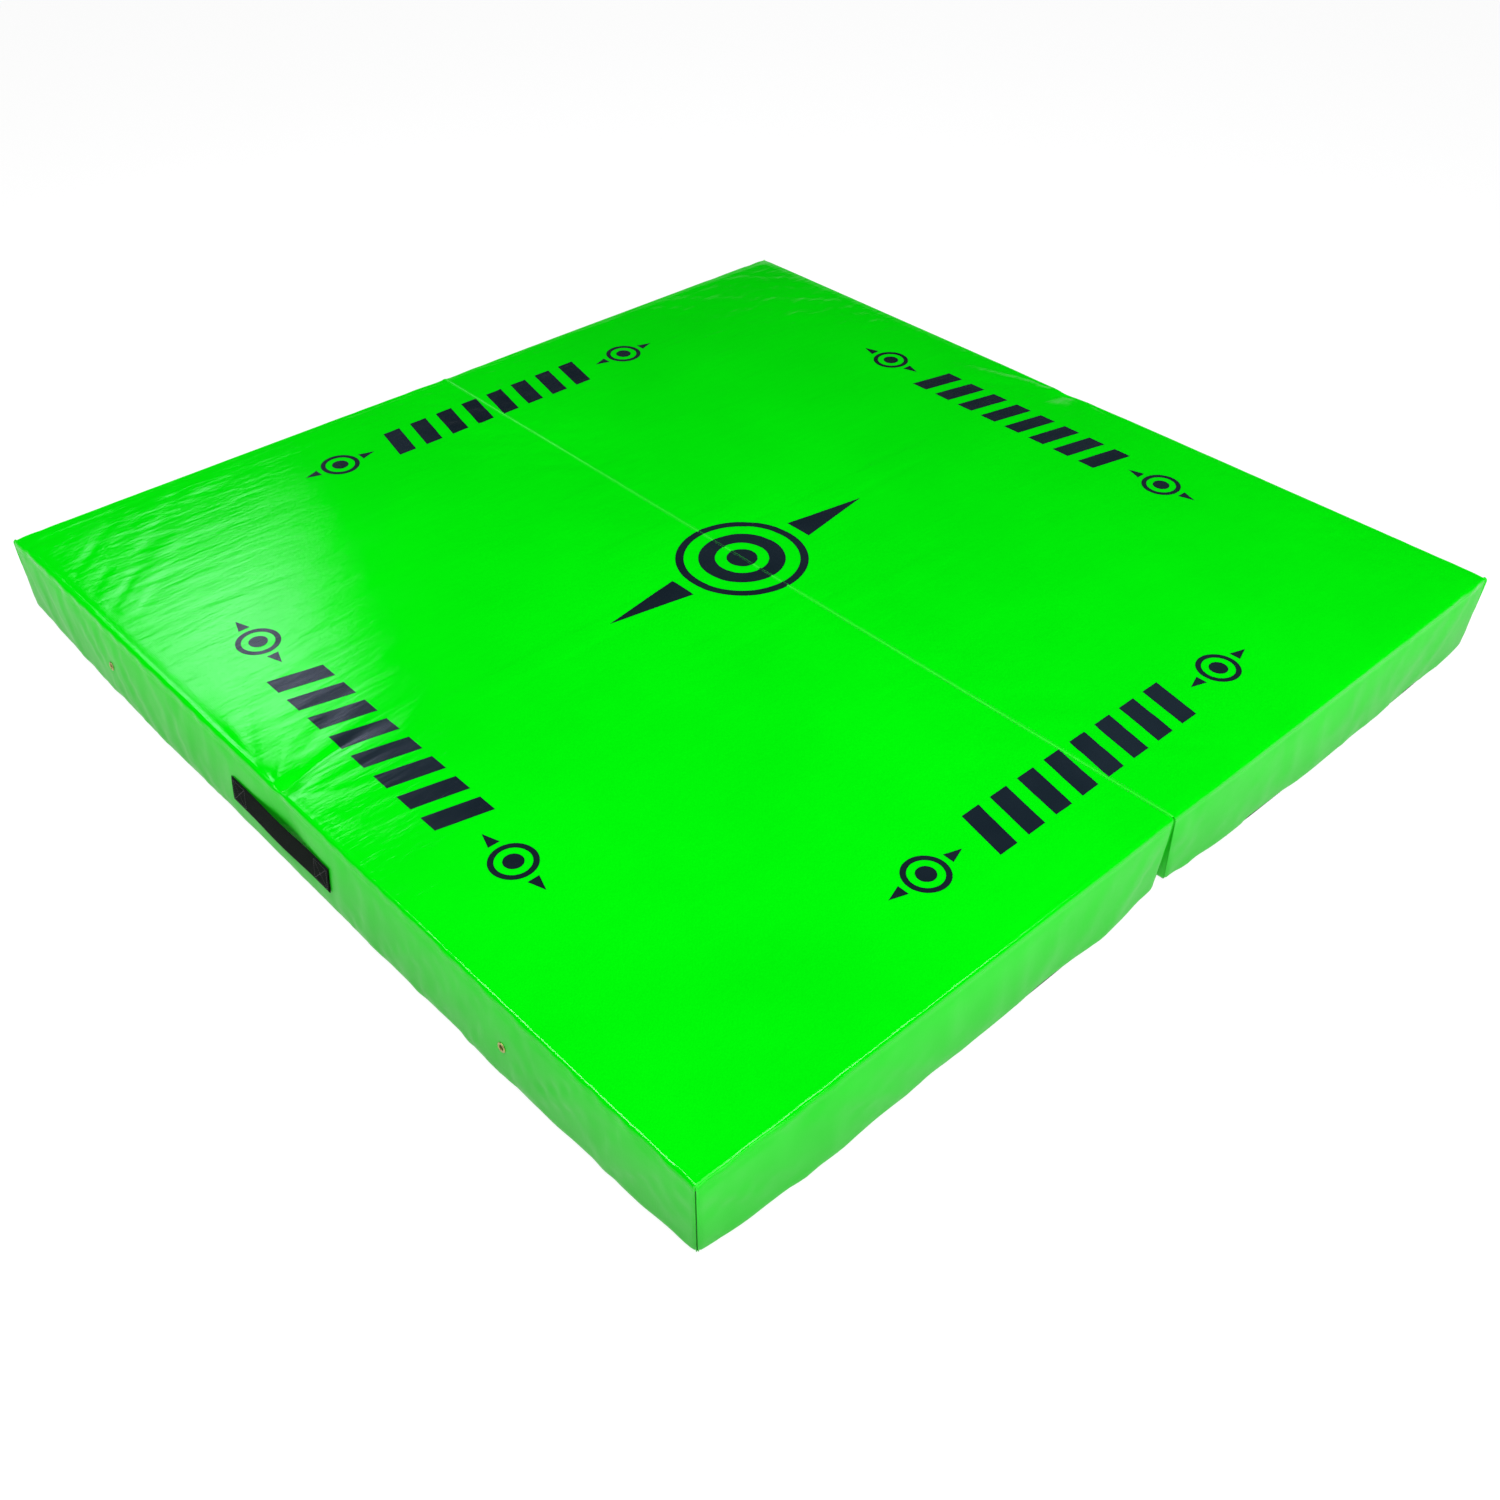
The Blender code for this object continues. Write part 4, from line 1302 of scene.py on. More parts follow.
def side_marks():
    """Polygons of one side's marks: slanted bars between two rings with a dot."""
    shapes = []
    low, high = -PRINT_ROW - BAR_H / 2, -PRINT_ROW + BAR_H / 2
    for i in range(BAR_COUNT):
        x = (i - (BAR_COUNT - 1) / 2) * BAR_PITCH
        left, right, slant = x - BAR_W / 2, x + BAR_W / 2, BAR_SLANT / 2
        bar = [(left - slant, low), (right - slant, low), (right + slant, high), (left + slant, high)]
        shapes.append([bar])
    for x in (-RING_PLACE, RING_PLACE):
        shapes.append(ring_polygons((x, -PRINT_ROW), *RING_R, RING_STEPS))
        shapes.append(ring_polygons((x, -PRINT_ROW), 0.0, DOT_R, DOT_STEPS))
        for sign in (-1, 1):
            root, tip = (x + sign * distance for distance in POINTER_X)
            shapes.append(pointer(root, tip, -PRINT_ROW, POINTER_HALF_W))
    return shapes


def centre_marks():
    """Polygons of the landing target: a dot, two rings and a pointer to each side."""
    shapes = [ring_polygons((0, 0), inner, outer, TARGET_STEPS) for inner, outer in TARGET_RINGS]
    for sign in (-1, 1):
        root, tip = (sign * distance for distance in TARGET_POINTER_X)
        shapes.append(pointer(root, tip, 0.0, TARGET_POINTER_HALF_W))
    return shapes


def all_marks():
    """The target, and the row of marks at -y turned into its place on each of the four sides."""
    shapes = centre_marks()
    for quarter in range(4):
        turn = Matrix.Rotation(math.pi / 2 * quarter, 2)
        for shape in side_marks():
            shapes.append([[tuple(turn @ Vector(point)) for point in polygon] for polygon in shape])
    return shapes


def cut_along(bm, place, normal, drop=False):
    geometry = bm.verts[:] + bm.edges[:] + bm.faces[:]
    bmesh.ops.bisect_plane(bm, geom=geometry, dist=1e-7, plane_co=place, plane_no=normal, clear_inner=drop)


def draped_shape(panel, polygons):
    """A flat shape on one panel, cut along the lines of the top's grid and laid on its relief, or None."""
    columns = panel.top[:, 0, 0]
    rows = panel.top[0, :, 1]
    bm = bmesh.new()
    for polygon in polygons:
        bm.faces.new([bm.verts.new((panel.side * x, y, 0.0)) for x, y in polygon])
    bmesh.ops.remove_doubles(bm, verts=bm.verts[:], dist=1e-6)
    cut_along(bm, (FOLD_MARGIN, 0, 0), (1, 0, 0), drop=True)
    if not bm.faces:
        bm.free()
        return None
    corners = np.array([vert.co for vert in bm.verts])
    low, high = corners.min(0), corners.max(0)
    for x in columns[(columns > low[0]) & (columns < high[0])]:
        cut_along(bm, (x, 0, 0), (1, 0, 0))
    for y in rows[(rows > low[1]) & (rows < high[1])]:
        cut_along(bm, (0, y, 0), (0, 1, 0))
    bmesh.ops.recalc_face_normals(bm, faces=bm.faces[:])
    for face in bm.faces:
        if face.normal.z < 0:
            face.normal_flip()
    return bm


def top_height(panel, u, y):
    """Height of the top sheet's mesh at (u, y)."""
    columns, rows = panel.top[:, 0, 0], panel.top[0, :, 1]
    i = np.clip(np.searchsorted(columns, u) - 1, 0, len(columns) - 2)
    j = np.clip(np.searchsorted(rows, y) - 1, 0, len(rows) - 2)
    a = (u - columns[i]) / (columns[i + 1] - columns[i])
    b = (y - rows[j]) / (rows[j + 1] - rows[j])
    z = panel.top[..., 2]
    low = z[i, j] * (1 - a) + z[i + 1, j] * a
    high = z[i, j + 1] * (1 - a) + z[i + 1, j + 1] * a
    return low * (1 - b) + high * b


def make_prints(panel, materials):
    """All of a panel's prints as one thin film on its top."""
    points, faces = [], []
    for polygons in all_marks():
        bm = draped_shape(panel, polygons)
        if bm is None:
            continue
        bm.verts.index_update()
        offset = len(points)
        for vert in bm.verts:
            z = float(top_height(panel, vert.co.x, vert.co.y)) + PRINT_LIFT
            points.append((panel.side * vert.co.x, vert.co.y, z))
        for face in bm.faces:
            loop = [offset + vert.index for vert in face.verts]
            faces.append(loop if panel.side > 0 else loop[::-1])
        bm.free()
    mesh = mesh_in_plan("prints_" + panel.tag, points, faces)
    mesh.shade_smooth()
    film = make_object("printed_marks_" + panel.tag, mesh, materials["print"], panel.body)
    thicken(film, PRINT_T)


# ---- foam and base ----


def make_foam(panel, materials):
    """The block inside the cover, shaped as the cover is and a little smaller."""
    top = top_points(panel, FOAM_ENDS, FOAM_SIDES, depth=FOAM_DEPTH)
    shrink = 1 - FOAM_DEPTH / THICK
    levels = [(z * shrink + FOAM_LIFT * (1 - z / THICK), inset, tilt) for z, inset, tilt in LEVELS[1:]]
    walls = wall_points(panel, levels, FOAM_ENDS, FOAM_SIDES, top, depth=FOAM_DEPTH)
    bottom = top.copy()
    bottom[..., 2] = levels[0][0]
    for wall, row in borders(bottom).items():
        row[:] = walls[wall][0]
    for wall, row in borders(top).items():
        walls[wall][-1] = row
    bm = bmesh.new()
    for grid in (top[::-1], bottom, *walls.values()):
        rows = [[bm.verts.new(point) for point in row] for row in placed(panel, grid).tolist()]
        for low, high in zip(rows, rows[1:]):
            for i in range(len(low) - 1):
                bm.faces.new((low[i], low[i + 1], high[i + 1], high[i]))
    bmesh.ops.remove_doubles(bm, verts=bm.verts[:], dist=1e-6)
    mesh = mesh_of(bm, "foam_block_" + panel.tag)
    foam = make_object("foam_block_" + panel.tag, mesh, materials["foam"], panel.body)
    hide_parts("foam_core_" + panel.tag)


def base_outline(panel, inset):
    """The edge of the base sheet, all the way round, as (u, y)."""
    walls = level_points(panel, (0.0, inset, 0.0), BASE_ENDS, BASE_SIDES, sharp_slit=True)
    return np.concatenate([wall[:-1] for wall in walls])


def make_base(panel, materials):
    """The non-slip sheet, with its row of stitches."""
    points = [(panel.side * u, y, BASE_LOW + BASE_T) for u, y in base_outline(panel, BASE_INSET).tolist()]
    outline = list(range(len(points)))
    mesh = mesh_in_plan("base_" + panel.tag, points, [outline if panel.side > 0 else outline[::-1]])
    base = make_object("nonslip_base_" + panel.tag, mesh, materials["base"], panel.body)
    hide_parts("base_sheet_" + panel.tag)
    thicken(base, BASE_T)
    row = base_outline(panel, BASE_INSET + BASE_SEAM)
    path = np.column_stack([row, np.full(len(row), BASE_LOW)])
    stitches = Stitches(*BASE_STITCH)
    stitches.along(placed(panel, np.vstack([path, path[:1]])), (0, 0, -1))
    stitches.make("base_stitches_" + panel.tag, materials["black_thread"], panel.body, "webbing")


# ---- sewing ----


class Stitches:
    """Rows of stitches, gathered into one mesh. Each stitch is a short rounded bar half sunk in the cloth."""

    SIDES = 6
    RINGS = ((-0.5, 0.4), (-0.34, 1.0), (0.34, 1.0), (0.5, 0.4))
    TURN_REACH = 0.3

    def __init__(self, length, gap, radius):
        self.length, self.gap, self.radius = length, gap, radius
        self.points, self.faces = [], []

    def add(self, centre, along, normal):
        along = Vector(along).normalized()
        across = Vector(normal).cross(along).normalized()
        up = along.cross(across)
        start = len(self.points)
        for share, width in self.RINGS:
            for i in range(self.SIDES):
                angle = 2 * math.pi * i / self.SIDES
                turn = across * math.cos(angle) + up * math.sin(angle)
                self.points.append(Vector(centre) + along * share * self.length + turn * width * self.radius)
        for ring in range(len(self.RINGS) - 1):
            base = start + ring * self.SIDES
            for i in range(self.SIDES):
                j = (i + 1) % self.SIDES
                self.faces.append((base + i, base + j, base + self.SIDES + j, base + self.SIDES + i))
        self.faces.append([start + i for i in reversed(range(self.SIDES))])
        self.faces.append([start + self.SIDES * (len(self.RINGS) - 1) + i for i in range(self.SIDES)])

    def along(self, path, normal):
        """A row of stitches along a line of points. normal is one direction, or one for each point."""
        path = np.asarray(path, float)
        normals = np.broadcast_to(np.asarray(normal, float), path.shape)
        run = np.concatenate([[0.0], np.cumsum(np.linalg.norm(np.diff(path, axis=0), axis=1))])
        pitch = self.length + self.gap
        reach = self.TURN_REACH * pitch
        for place in np.arange(pitch / 2, run[-1] - self.length / 2, pitch):
            low, high, up = (
                Vector([np.interp(at, run, rows[:, k]) for k in range(3)])
                for at, rows in ((place - reach, path), (place + reach, path), (place, normals))
            )
            self.add((low + high) / 2, high - low, up)

    def make(self, name, material, body, slot):
        mesh = bpy.data.meshes.new(name)
        mesh.from_pydata(self.points, [], self.faces)
        mesh.shade_smooth()
        return make_object(name, mesh, material, body)


def swept(path, sections):
    """A grid of points: each section is (across, up) pairs laid at a point with its two directions."""
    rows = []
    for (centre, across, up), section in zip(path, sections):
        section = np.asarray(section, float)
        rows.append(centre + section[:, :1] * across + section[:, 1:] * up)
    return np.array(rows)


def ringed(values):
    """A row's values with the first again at its end."""
    return np.concatenate([values, values[:, :1]], axis=1)


def tube_mesh(name, rows, flat=None, sharp=CRISP):
    """A closed tube through rings of points, with flat ends."""
    count, sides = rows.shape[:2]
    index = ringed(np.arange(count * sides).reshape(count, sides))
    if flat is None:
        flat = np.zeros((count, sides + 1, 2))
    quads, places = grid_faces(index, flat)
    bm = bmesh.new()
    verts = [bm.verts.new(point) for point in rows.reshape(-1, 3).tolist()]
    layer = bm.loops.layers.uv.new("flat")
    for quad, place in zip(quads.tolist(), places.tolist()):
        face = bm.faces.new([verts[i] for i in quad])
        for loop, uv in zip(face.loops, place):
            loop[layer].uv = uv
    bm.faces.new(verts[:sides])
    bm.faces.new(verts[-sides:])
    return mesh_of(bm, name, sharp)


def corner_path(panel, wall, column, away):
    """Points up a vertical seam, with the directions across it and out from it."""
    away = np.array([panel.side * away[0], away[1], 0.0])
    away /= np.linalg.norm(away)
    across = np.array([-away[1], away[0], 0.0])
    path = []
    for (_, _, tilt), point in zip(LEVELS, placed(panel, panel.walls[wall][:, column])):
        if WELT_START_TILT <= tilt <= WELT_END_TILT:
            out = away * math.cos(tilt) + np.array([0.0, 0.0, math.sin(tilt)])
            path.append((point, across, out))
    return path


def corner_ridge(panel, name, path, seed, scale, material):
    """One ridge, slightly uneven along its length."""
    wander = np.random.default_rng(seed).uniform(-1, 1, (len(path), 2))
    sections = []
    for i, (sway, rise) in enumerate(wander):
        tip = 1.0 if 0 < i < len(path) - 1 else WELT_END
        shift, height = WELT_SWAY * sway, scale * (tip + WELT_RISE * rise)
        sections.append([(scale * a + shift, height * b) for a, b in WELT_SECTION])
    mesh = tube_mesh(f"{name}_ridge_{panel.tag}", swept(path, sections), sharp=CRISP_RIDGE)
    ridge = make_object(f"{name}_corner_ridge_{panel.tag}", mesh, material, panel.body)
    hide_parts(f"{name}_corner_welt_{panel.tag}")


def make_corner_welts(panel, materials):
    """The ridge where two walls are sewn together, down each corner. The outer two have thread in their
    groove, painted very dark as painted shade in the groove."""
    stitches = Stitches(*CORNER_STITCH)
    for number, (name, *corner) in enumerate(OUTER_CORNERS):
        path = corner_path(panel, *corner)
        corner_ridge(panel, name, path, panel.seed + OUTER_RIDGE_SEED_STEP * number, 1.0, materials["seam"])
        thread = path[2:-2]
        stitches.along([centre + out * THREAD_LIFT for centre, _, out in thread], thread[0][1])
    for number, (name, *corner) in enumerate(INNER_CORNERS):
        path, seed = corner_path(panel, *corner), panel.seed + INNER_RIDGE_SEED + number
        corner_ridge(panel, name, path, seed, INNER_RIDGE_SCALE, materials["pvc_plain"])
    # the corner thread's dark colour is painted shade in the ridge's groove
    stitches.make("corner_stitches_" + panel.tag, materials["groove_shade_thread"], panel.body, "pvc")


def fold_height(y):
    """Height of the mat's top at the fold: level, then down over the rounded ends."""
    past = np.clip(np.abs(y) - (HALF - EDGE_R), 0, EDGE_R)
    return THICK - EDGE_R + np.sqrt(EDGE_R ** 2 - past ** 2)


def ink_crossings(mesh, ink):
    """The target is printed over the strip and its stitches too, where its dot and rings cross the fold."""
    mesh.materials.append(ink)
    for face in mesh.polygons:
        if any(inner <= abs(face.center.y) <= outer for inner, outer in TARGET_RINGS):
            face.material_index = 1


def fold_strip_rows(y):
    """The strip's section at each place along the fold, puckered by its stitches and wandering a little."""
    pucker = FOLD_PUCKER * np.sin(2 * np.pi * y / FOLD_PUCKER_PITCH)
    pucker = pucker + FOLD_RISE * lattice_noise(FOLD_RISE_SEED, y / FOLD_RISE_CELL, y * 0)
    sway = FOLD_SWAY * lattice_noise(FOLD_SWAY_SEED, y / FOLD_SWAY_CELL, y * 0)
    rows = []
    for place, height, rise, shift in zip(y, fold_height(y), pucker, sway):
        row = []
        for x, z in FOLD_SECTION:
            lift = rise if z > FOLD_RAISED_Z else 0.0
            row.append((x + shift * abs(x) / FOLD_SWAY_X, place, height + z + lift))
        rows.append(row)
    return np.array(rows)


def make_fold_strip(materials):
    """The sewn strip of vinyl on which the mat folds."""
    y = np.linspace(-FOLD_REACH, FOLD_REACH, FOLD_ROWS)
    rows = fold_strip_rows(y)
    mesh = tube_mesh("fold_strip", rows, ringed(rows)[..., :2], sharp=CRISP_RIDGE)
    strip = make_object("fold_seam_strip", mesh, materials["seam"])
    ink_crossings(strip.data, materials["print"])
    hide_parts("fold_welt_a", "fold_welt_b")
    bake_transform(strip)
    for panel in PANELS:
        stitches = Stitches(*FOLD_STITCH)
        x, places = panel.side * FOLD_STITCH_X, y[::FOLD_STITCH_STEP]
        path = [(x, place, fold_height(place) + FOLD_STITCH_LIFT) for place in places]
        stitches.along(path, (0, 0, 1))
        sewn = stitches.make("fold_stitches_" + panel.tag, materials["green_thread"], panel.body, "pvc")
        ink_crossings(sewn.data, materials["print"])


# ---- carry handle ----


def strap_back(y):
    """How far the webbing's back stands off the wall."""
    free = HANDLE_L / 2 - HANDLE_SEWN
    lift = HANDLE_STANDOFF * math.cos(math.pi / 2 * y / free) ** 2 if abs(y) < free else 0.0
    return HANDLE_CLEAR + lift


def strap_section(panel, y):
    """Points round the webbing at y: flat faces with rounded edges."""
    points = []
    for i in range(STRAP_SIDES):
        angle = 2 * math.pi * (i + 0.5) / STRAP_SIDES
        c, s = math.cos(angle), math.sin(angle)
        across = math.copysign(abs(c) ** STRAP_FLATNESS, c) * HANDLE_W / 2
        through = (1 + math.copysign(abs(s) ** (2 * STRAP_FLATNESS), s)) / 2 * HANDLE_T
        z = HANDLE_Z + across
        points.append((panel.side * (outer_wall(y, z) + strap_back(y) + through), y, z))
    return points


def strap_front(panel, y, z):
    """A point on the webbing's face."""
    return (panel.side * (outer_wall(y, z) + strap_back(y) + HANDLE_T), y, z)


def box_stitch(panel, stitches, end):
    """The crossed box of stitches that holds one end of the strap."""
    outer, inner = end * (HANDLE_L / 2 - BOX_MARGIN), end * (HANDLE_L / 2 - HANDLE_SEWN + BOX_INNER_MARGIN)
    low, high = HANDLE_Z - HANDLE_W / 2 + BOX_MARGIN, HANDLE_Z + HANDLE_W / 2 - BOX_MARGIN
    corners = [(outer, low), (inner, low), (inner, high), (outer, high)]
    lines = [(corners[i - 1], corners[i]) for i in range(4)]
    lines += [(corners[0], corners[2]), (corners[1], corners[3])]
    for (y0, z0), (y1, z1) in lines:
        steps = np.linspace(0, 1, BOX_STEPS)
        path = [strap_front(panel, y0 + (y1 - y0) * t, z0 + (z1 - z0) * t) for t in steps]
        stitches.along(path, (panel.side, 0, 0))


def make_handle(panel, materials):
    """The carry strap: webbing sewn down at both ends."""
    stations = np.linspace(-HANDLE_L / 2, HANDLE_L / 2, STRAP_ROWS)
    rows = np.array([strap_section(panel, y) for y in stations])
    mesh = tube_mesh("strap", rows, ringed(rows)[..., 1:])
    strap = make_object("webbing_handle_" + panel.tag, mesh, materials["webbing"], panel.body)
    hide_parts("carry_handle_" + panel.tag)
    stitches = Stitches(*HANDLE_STITCH)
    for end in (-1, 1):
        box_stitch(panel, stitches, end)
    stitches.make("handle_stitches_" + panel.tag, materials["black_thread"], panel.body, "webbing")


def make_patch(panel, materials):
    """The vinyl patch behind the wall that takes the strap's stitches."""
    half_l, half_w = HANDLE_L / 2 + PATCH_MARGIN, HANDLE_W / 2 + PATCH_MARGIN
    y, z = (np.linspace(-1, 1, count) for count in PATCH_GRID)
    y, z = np.meshgrid(y * half_l, HANDLE_Z + z * half_w, indexing="ij")
    u = outer_wall(y, z) - dent_behind_strap(y, z) - PATCH_DEPTH
    points = placed(panel, np.stack([u, y, z], -1))
    mesh = grid_mesh("patch_" + panel.tag, points, np.stack([y, z], -1), panel.side < 0)
    patch = make_object("sewing_patch_" + panel.tag, mesh, materials["pvc"], panel.body)
    thicken(patch, PATCH_T)
    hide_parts("handle_patch_" + panel.tag)


# ---- eyelets ----


def wall_place(side, y, z):
    """A matrix at a point on the outer wall, with its Z axis along the wall's outward normal."""
    step = LEAN_STEP
    lean_y = (outer_wall(y + step, z) - outer_wall(y - step, z)) / (2 * step)
    lean_z = (outer_wall(y, z + step) - outer_wall(y, z - step)) / (2 * step)
    normal = Vector((side, -lean_y, -lean_z)).normalized()
    turn = normal.to_track_quat("Z", "Y").to_matrix().to_4x4()
    return Matrix.Translation((side * outer_wall(y, z), y, z)) @ turn


def eyelet_profile():
    """The barrel, and the flange rolled over the vinyl."""
    middle = (EYELET_HOLE_R + EYELET_FLANGE_R) / 2
    half = (EYELET_FLANGE_R - EYELET_HOLE_R) / 2
    profile = [(EYELET_BARREL_R, EYELET_BACK), (EYELET_HOLE_R, EYELET_BACK)]
    for i in range(ROLL_STEPS + 1):
        angle = math.pi * (1 - i / ROLL_STEPS)
        height = ROLL_LOW + ROLL_RISE * math.sin(angle) ** ROLL_POWER
        profile.append((middle + half * math.cos(angle), height))
    return profile + [(EYELET_FLANGE_R - EYELET_LIP, EYELET_SEAT), (EYELET_BARREL_R, EYELET_SEAT)]


def make_eyelets(panel, materials):
    """The brass eyelets that let air out, and the washers behind the wall."""
    for y, name in ((-EYELET_Y, "near"), (EYELET_Y, "far")):
        place = wall_place(panel.side, y, EYELET_Z)
        mesh = turned_mesh(f"eyelet_{name}_{panel.tag}", eyelet_profile(), place, EYELET_SIDES)
        name = f"{name}_{panel.tag}"
        eyelet = make_object("brass_eyelet_" + name, mesh, materials["brass"], panel.body)
        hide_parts("vent_eyelet_" + name)
        give_material("eyelet_washer_" + name, materials["brass"])


# ---- zip ----


def coil_centre(panel, sign):
    """The middle of one coil's wire, wound flat along its edge of the zip."""
    x_low, x_high = ZIP_X
    steps = int((x_high - x_low) / COIL_PITCH) * COIL_STEPS
    y_middle = sum(COIL_Y) / 2
    y_half = (COIL_Y[1] - COIL_Y[0]) / 2 - COIL_WIRE_R
    z_half = (COIL_W + COIL_GAP - COIL_REACH) / 2 - COIL_WIRE_R
    turn = np.arange(steps + 1) / COIL_STEPS + (0.5 if sign > 0 else 0.0)
    angle = 2 * np.pi * turn
    x = panel.side * (x_low + (x_high - x_low) * np.arange(steps + 1) / steps)
    y = y_middle + y_half * np.sin(angle)
    z = ZIP_Z + sign * (COIL_REACH + COIL_WIRE_R + z_half + z_half * np.cos(angle))
    return np.stack([x, y, z], -1)


def unit(vectors):
    return vectors / np.linalg.norm(vectors, axis=1)[:, None]


def wire_rings(centre):
    """Rings of points round a coil's wire."""
    ahead = unit(np.gradient(centre, axis=0))
    side = unit(np.cross(ahead, (1.0, 0.0, 0.0)))
    up = np.cross(side, ahead)
    angle = 2 * np.pi * np.arange(COIL_SIDES) / COIL_SIDES
    turn = np.cos(angle)[None, :, None] * side[:, None] + np.sin(angle)[None, :, None] * up[:, None]
    return centre[:, None] + COIL_WIRE_R * turn


def make_coils(panel, materials):
    """The two nylon coils of the zip."""
    for sign, name in ((1, "upper"), (-1, "lower")):
        mesh = tube_mesh(f"coil_{name}", wire_rings(coil_centre(panel, sign)), sharp=CRISP_COIL)
        coil = make_object(f"nylon_coil_{name}_{panel.tag}", mesh, materials["coil"], panel.body)
        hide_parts(f"zip_coil_{name}_{panel.tag}")


def extruded(bm, outline, y_low, y_high):
    """A closed block: an outline of (x, z) points carried through from one y to the other."""
    low = [bm.verts.new((x, y_low, z)) for x, z in outline]
    high = [bm.verts.new((x, y_high, z)) for x, z in outline]
    bm.faces.new(low)
    bm.faces.new(high)
    for i in range(len(outline)):
        bm.faces.new((low[i - 1], low[i], high[i], high[i - 1]))


def rounded_rectangle(x_low, x_high, z_low, z_high, radius, steps=5):
    """Corners as quarter circles."""
    points = []
    centres = ((x_high - radius, z_high - radius), (x_low + radius, z_high - radius))
    centres += ((x_low + radius, z_low + radius), (x_high - radius, z_low + radius))
    for quarter, (x, z) in enumerate(centres):
        for i in range(steps + 1):
            angle = math.pi / 2 * (quarter + i / steps)
            points.append((x + radius * math.cos(angle), z + radius * math.sin(angle)))
    return points


def metal_object(name, bm, body, node, materials, bevel):
    mesh = mesh_of(bm, name, CRISP_RIM)
    obj = make_object(name, mesh, materials["zip_metal"], body)
    modifier = obj.modifiers.new("edges", "BEVEL")
    set_values(modifier, {"width": bevel, "segments": 2, "limit_method": "ANGLE"})
    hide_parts(node)


def make_slider(panel, materials):
    """The slider: a plate with a narrow nose, flanges behind it, and two lugs that hold the pull's pin."""
    x = panel.side * SLIDER_X
    half_l, half_w = SLIDER_L / 2, SLIDER_HALF_W
    nose, shoulder, tail = x - half_l, x - NOSE_START * half_l, x + half_l
    bm = bmesh.new()
    plate = [(nose, ZIP_Z - NOSE_W * half_w), (shoulder, ZIP_Z - half_w), (tail, ZIP_Z - half_w)]
    plate += [(px, 2 * ZIP_Z - pz) for px, pz in reversed(plate)]
    if panel.side > 0:
        plate = [(2 * x - px, pz) for px, pz in plate]
    extruded(bm, plate, PLATE_BACK_Y, PLATE_FRONT_Y)
    start, end = x - FLANGE_SPAN[0] * half_l, x + FLANGE_SPAN[1] * half_l
    for sign in (-1, 1):
        flange = sorted((ZIP_Z + sign * half_w, ZIP_Z + sign * (half_w - FLANGE_T)))
        extruded(bm, rounded_rectangle(start, end, *flange, FLANGE_R), *FLANGE_Y)
        lug = sorted(ZIP_Z + sign * z for z in LUG_Z)
        for width, height in LUG_STEPS:
            outline = rounded_rectangle(x - LUG_X * width, x + LUG_X * width, *lug, LUG_R)
            extruded(bm, outline, PLATE_FRONT_Y - LUG_ROOT, PLATE_FRONT_Y + height)
    place = Matrix.Translation((x, PIN_Y, ZIP_Z))
    size = {"radius1": PIN_R, "radius2": PIN_R, "depth": sum(LUG_Z), "segments": PIN_SIDES}
    bmesh.ops.create_cone(bm, cap_ends=True, matrix=place, **size)
    node = "zip_slider_" + panel.tag
    metal_object("slider_" + panel.tag, bm, node, node, materials, SLIDER_BEVEL)


def add_eye(bm, x):
    """The eye of the pull, round the slider's pin."""
    rings = []
    for z in (ZIP_Z - EYE_HALF_W, ZIP_Z + EYE_HALF_W):
        for radius in EYE_R:
            angles = [2 * math.pi * i / EYE_SIDES for i in range(EYE_SIDES)]
            circle = [(x + radius * math.cos(angle), PIN_Y + radius * math.sin(angle), z) for angle in angles]
            rings.append([bm.verts.new(point) for point in circle])
    low_in, low_out, high_in, high_out = rings
    bands = ((low_in, low_out), (low_out, high_out), (high_out, high_in), (high_in, low_in))
    for i in range(EYE_SIDES):
        for first, second in bands:
            bm.faces.new((first[i - 1], first[i], second[i], second[i - 1]))


def make_pull(panel, materials):
    """A ribbed tab on a neck, with an eye round the slider's pin."""
    x, towards = panel.side * SLIDER_X, -panel.side
    half = PULL_T / 2
    blocks = [(*part, min(part[0], PULL_R) * PULL_ROUNDING, 0.0) for part in PULL_PARTS]
    blocks += [(RIB_HALF_W, *rib, RIB_R, RIB_RISE) for rib in PULL_RIBS]
    bm = bmesh.new()
    for half_w, start, end, radius, rise in blocks:
        span = sorted((x + towards * start, x + towards * end))
        outline = rounded_rectangle(*span, ZIP_Z - half_w, ZIP_Z + half_w, radius)
        extruded(bm, outline, PIN_Y - half - rise, PIN_Y + half + rise)
    add_eye(bm, x)
    node = "zip_pull_" + panel.tag
    metal_object("pull_tab_" + panel.tag, bm, node, node, materials, PULL_BEVEL)


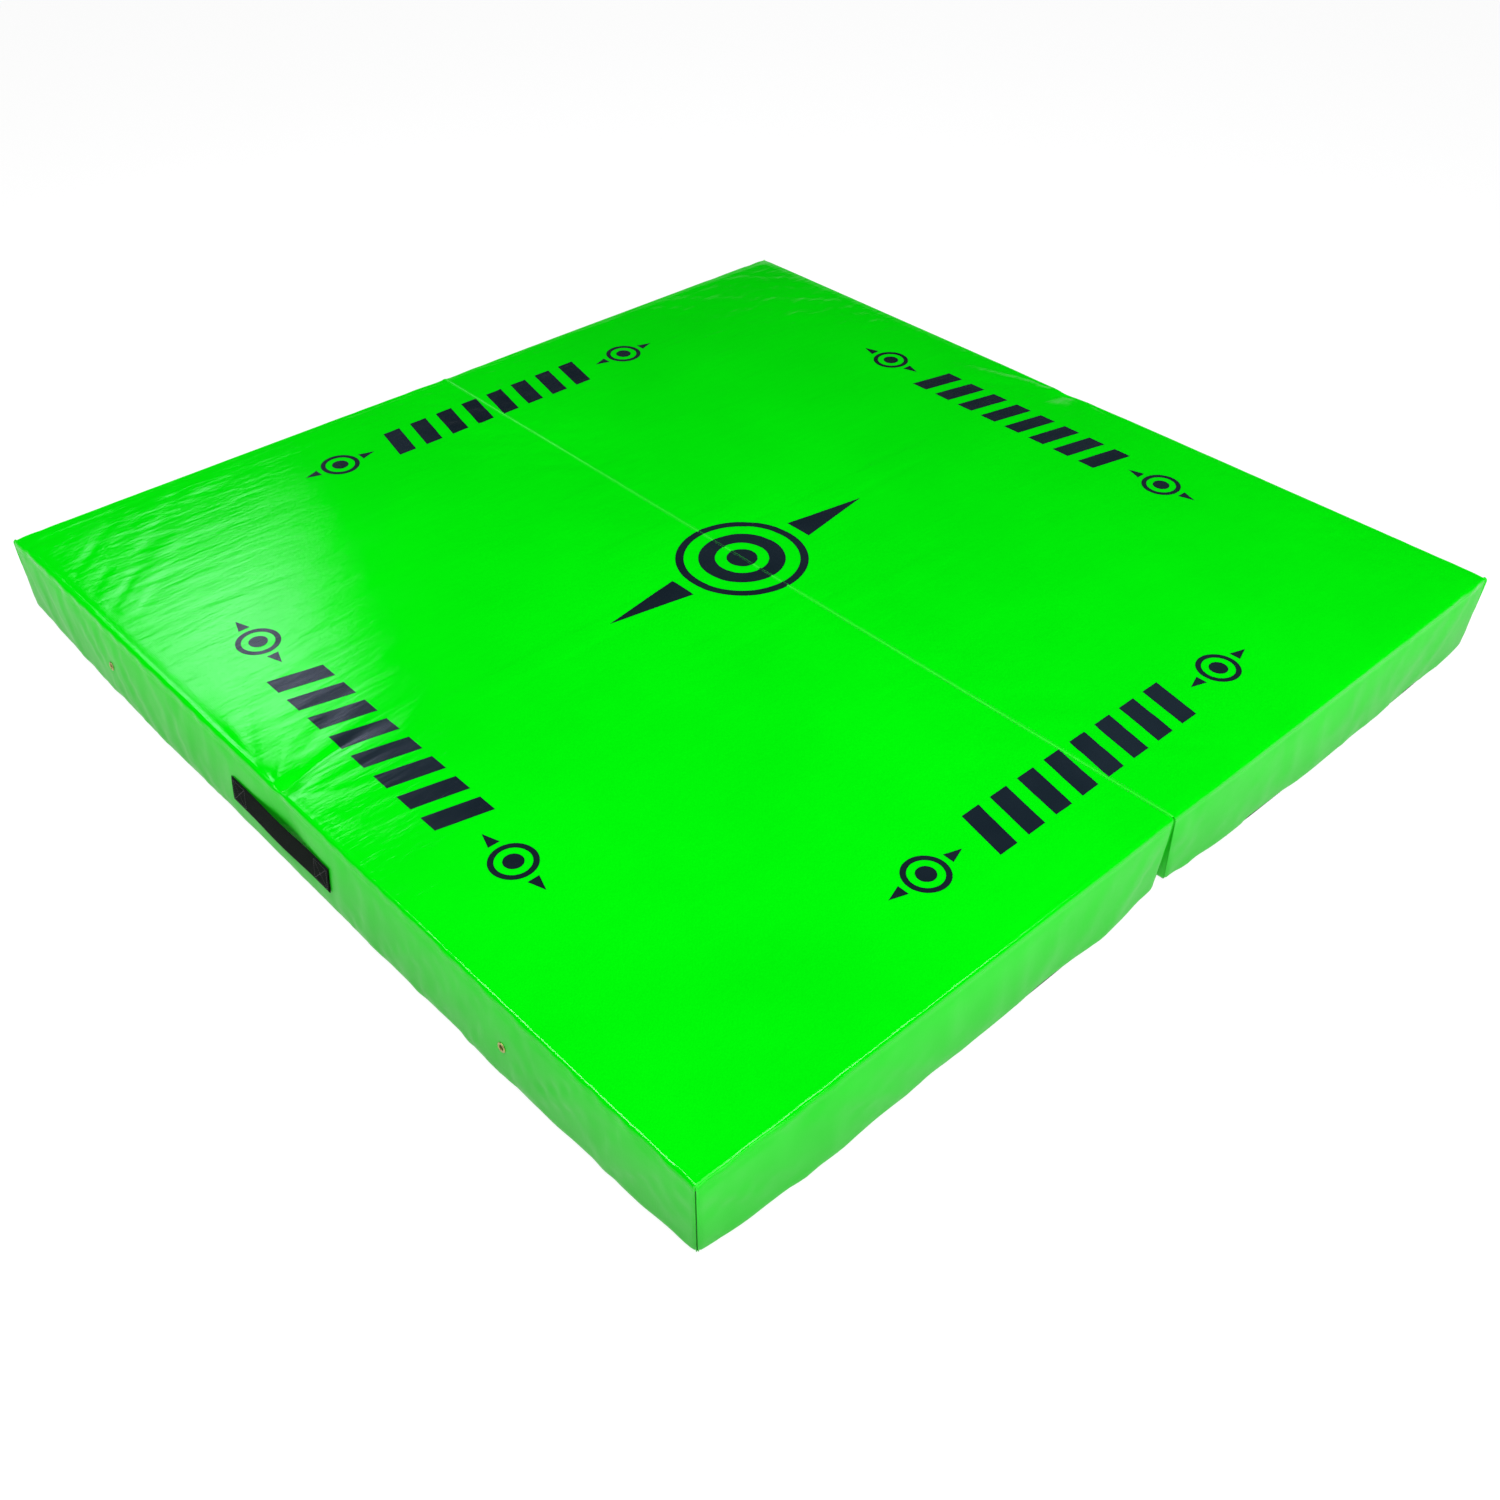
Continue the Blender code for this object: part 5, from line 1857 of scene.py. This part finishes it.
def make_stops(panel, materials):
    """Clenched metal stops, each bowed over both coils."""
    half = COIL_GAP + COIL_W + STOP_MARGIN
    for name, x in (("fold", ZIP_X[0] + STOP_INSET), ("outer", ZIP_X[1] - STOP_INSET)):
        x = panel.side * x
        bm = bmesh.new()
        outline = rounded_rectangle(x - STOP_HALF_L, x + STOP_HALF_L, ZIP_Z - half, ZIP_Z + half, STOP_R)
        extruded(bm, outline, PLATE_BACK_Y, STOP_FRONT_Y)
        node = f"zip_{name}_stop_{panel.tag}"
        metal_object(f"zip_{name}_clamp_{panel.tag}", bm, panel.body, node, materials, STOP_BEVEL)


def make_zip(panel, materials):
    """The coils, stops, slider and pull of a zip, its tapes' twill, and the stitches round its slot."""
    for name in ("upper", "lower"):
        give_material(f"zip_tape_{name}_{panel.tag}", materials["tape"])
    for make in (make_coils, make_stops, make_slider, make_pull):
        make(panel, materials)
    stitches = Stitches(*ZIP_STITCH)
    x_low, x_high = ZIP_X[0] - ZIP_SEAM_END, ZIP_X[1] + ZIP_SEAM_END
    z_low, z_high = ZIP_SLOT[0] - ZIP_SEAM, ZIP_SLOT[1] + ZIP_SEAM
    lines = [[(x, z) for x in np.linspace(x_low, x_high, ZIP_SEAM_STEPS)] for z in (z_low, z_high)]
    lines += [[(x, z_low), (x, z_high)] for x in (x_low, x_high)]
    for line in lines:
        stitches.along([(panel.side * x, HALF, z) for x, z in line], (0, 1, 0))
    stitches.make("zip_stitches_" + panel.tag, materials["green_thread"], panel.body, "pvc")


def give_material(node, material):
    """Gives a CAD node that stays its finished material."""
    for slot in frame["nodes"][node].material_slots:
        slot.link = "OBJECT"
        slot.material = material


# ---- build ----


def main():
    make_camera()
    for light in LIGHTS:
        area_light(*light)
    make_world()
    make_floor()
    set_view()
    materials = make_materials()
    pieces = (make_cover, make_inner_wall, make_foam, make_base, make_prints, make_corner_welts, make_handle)
    pieces += (make_patch, make_eyelets, make_zip)
    for panel in PANELS:
        settle_cover(panel)
        shape_cover(panel)
        for make in pieces:
            make(panel, materials)
    make_fold_strip(materials)


main()
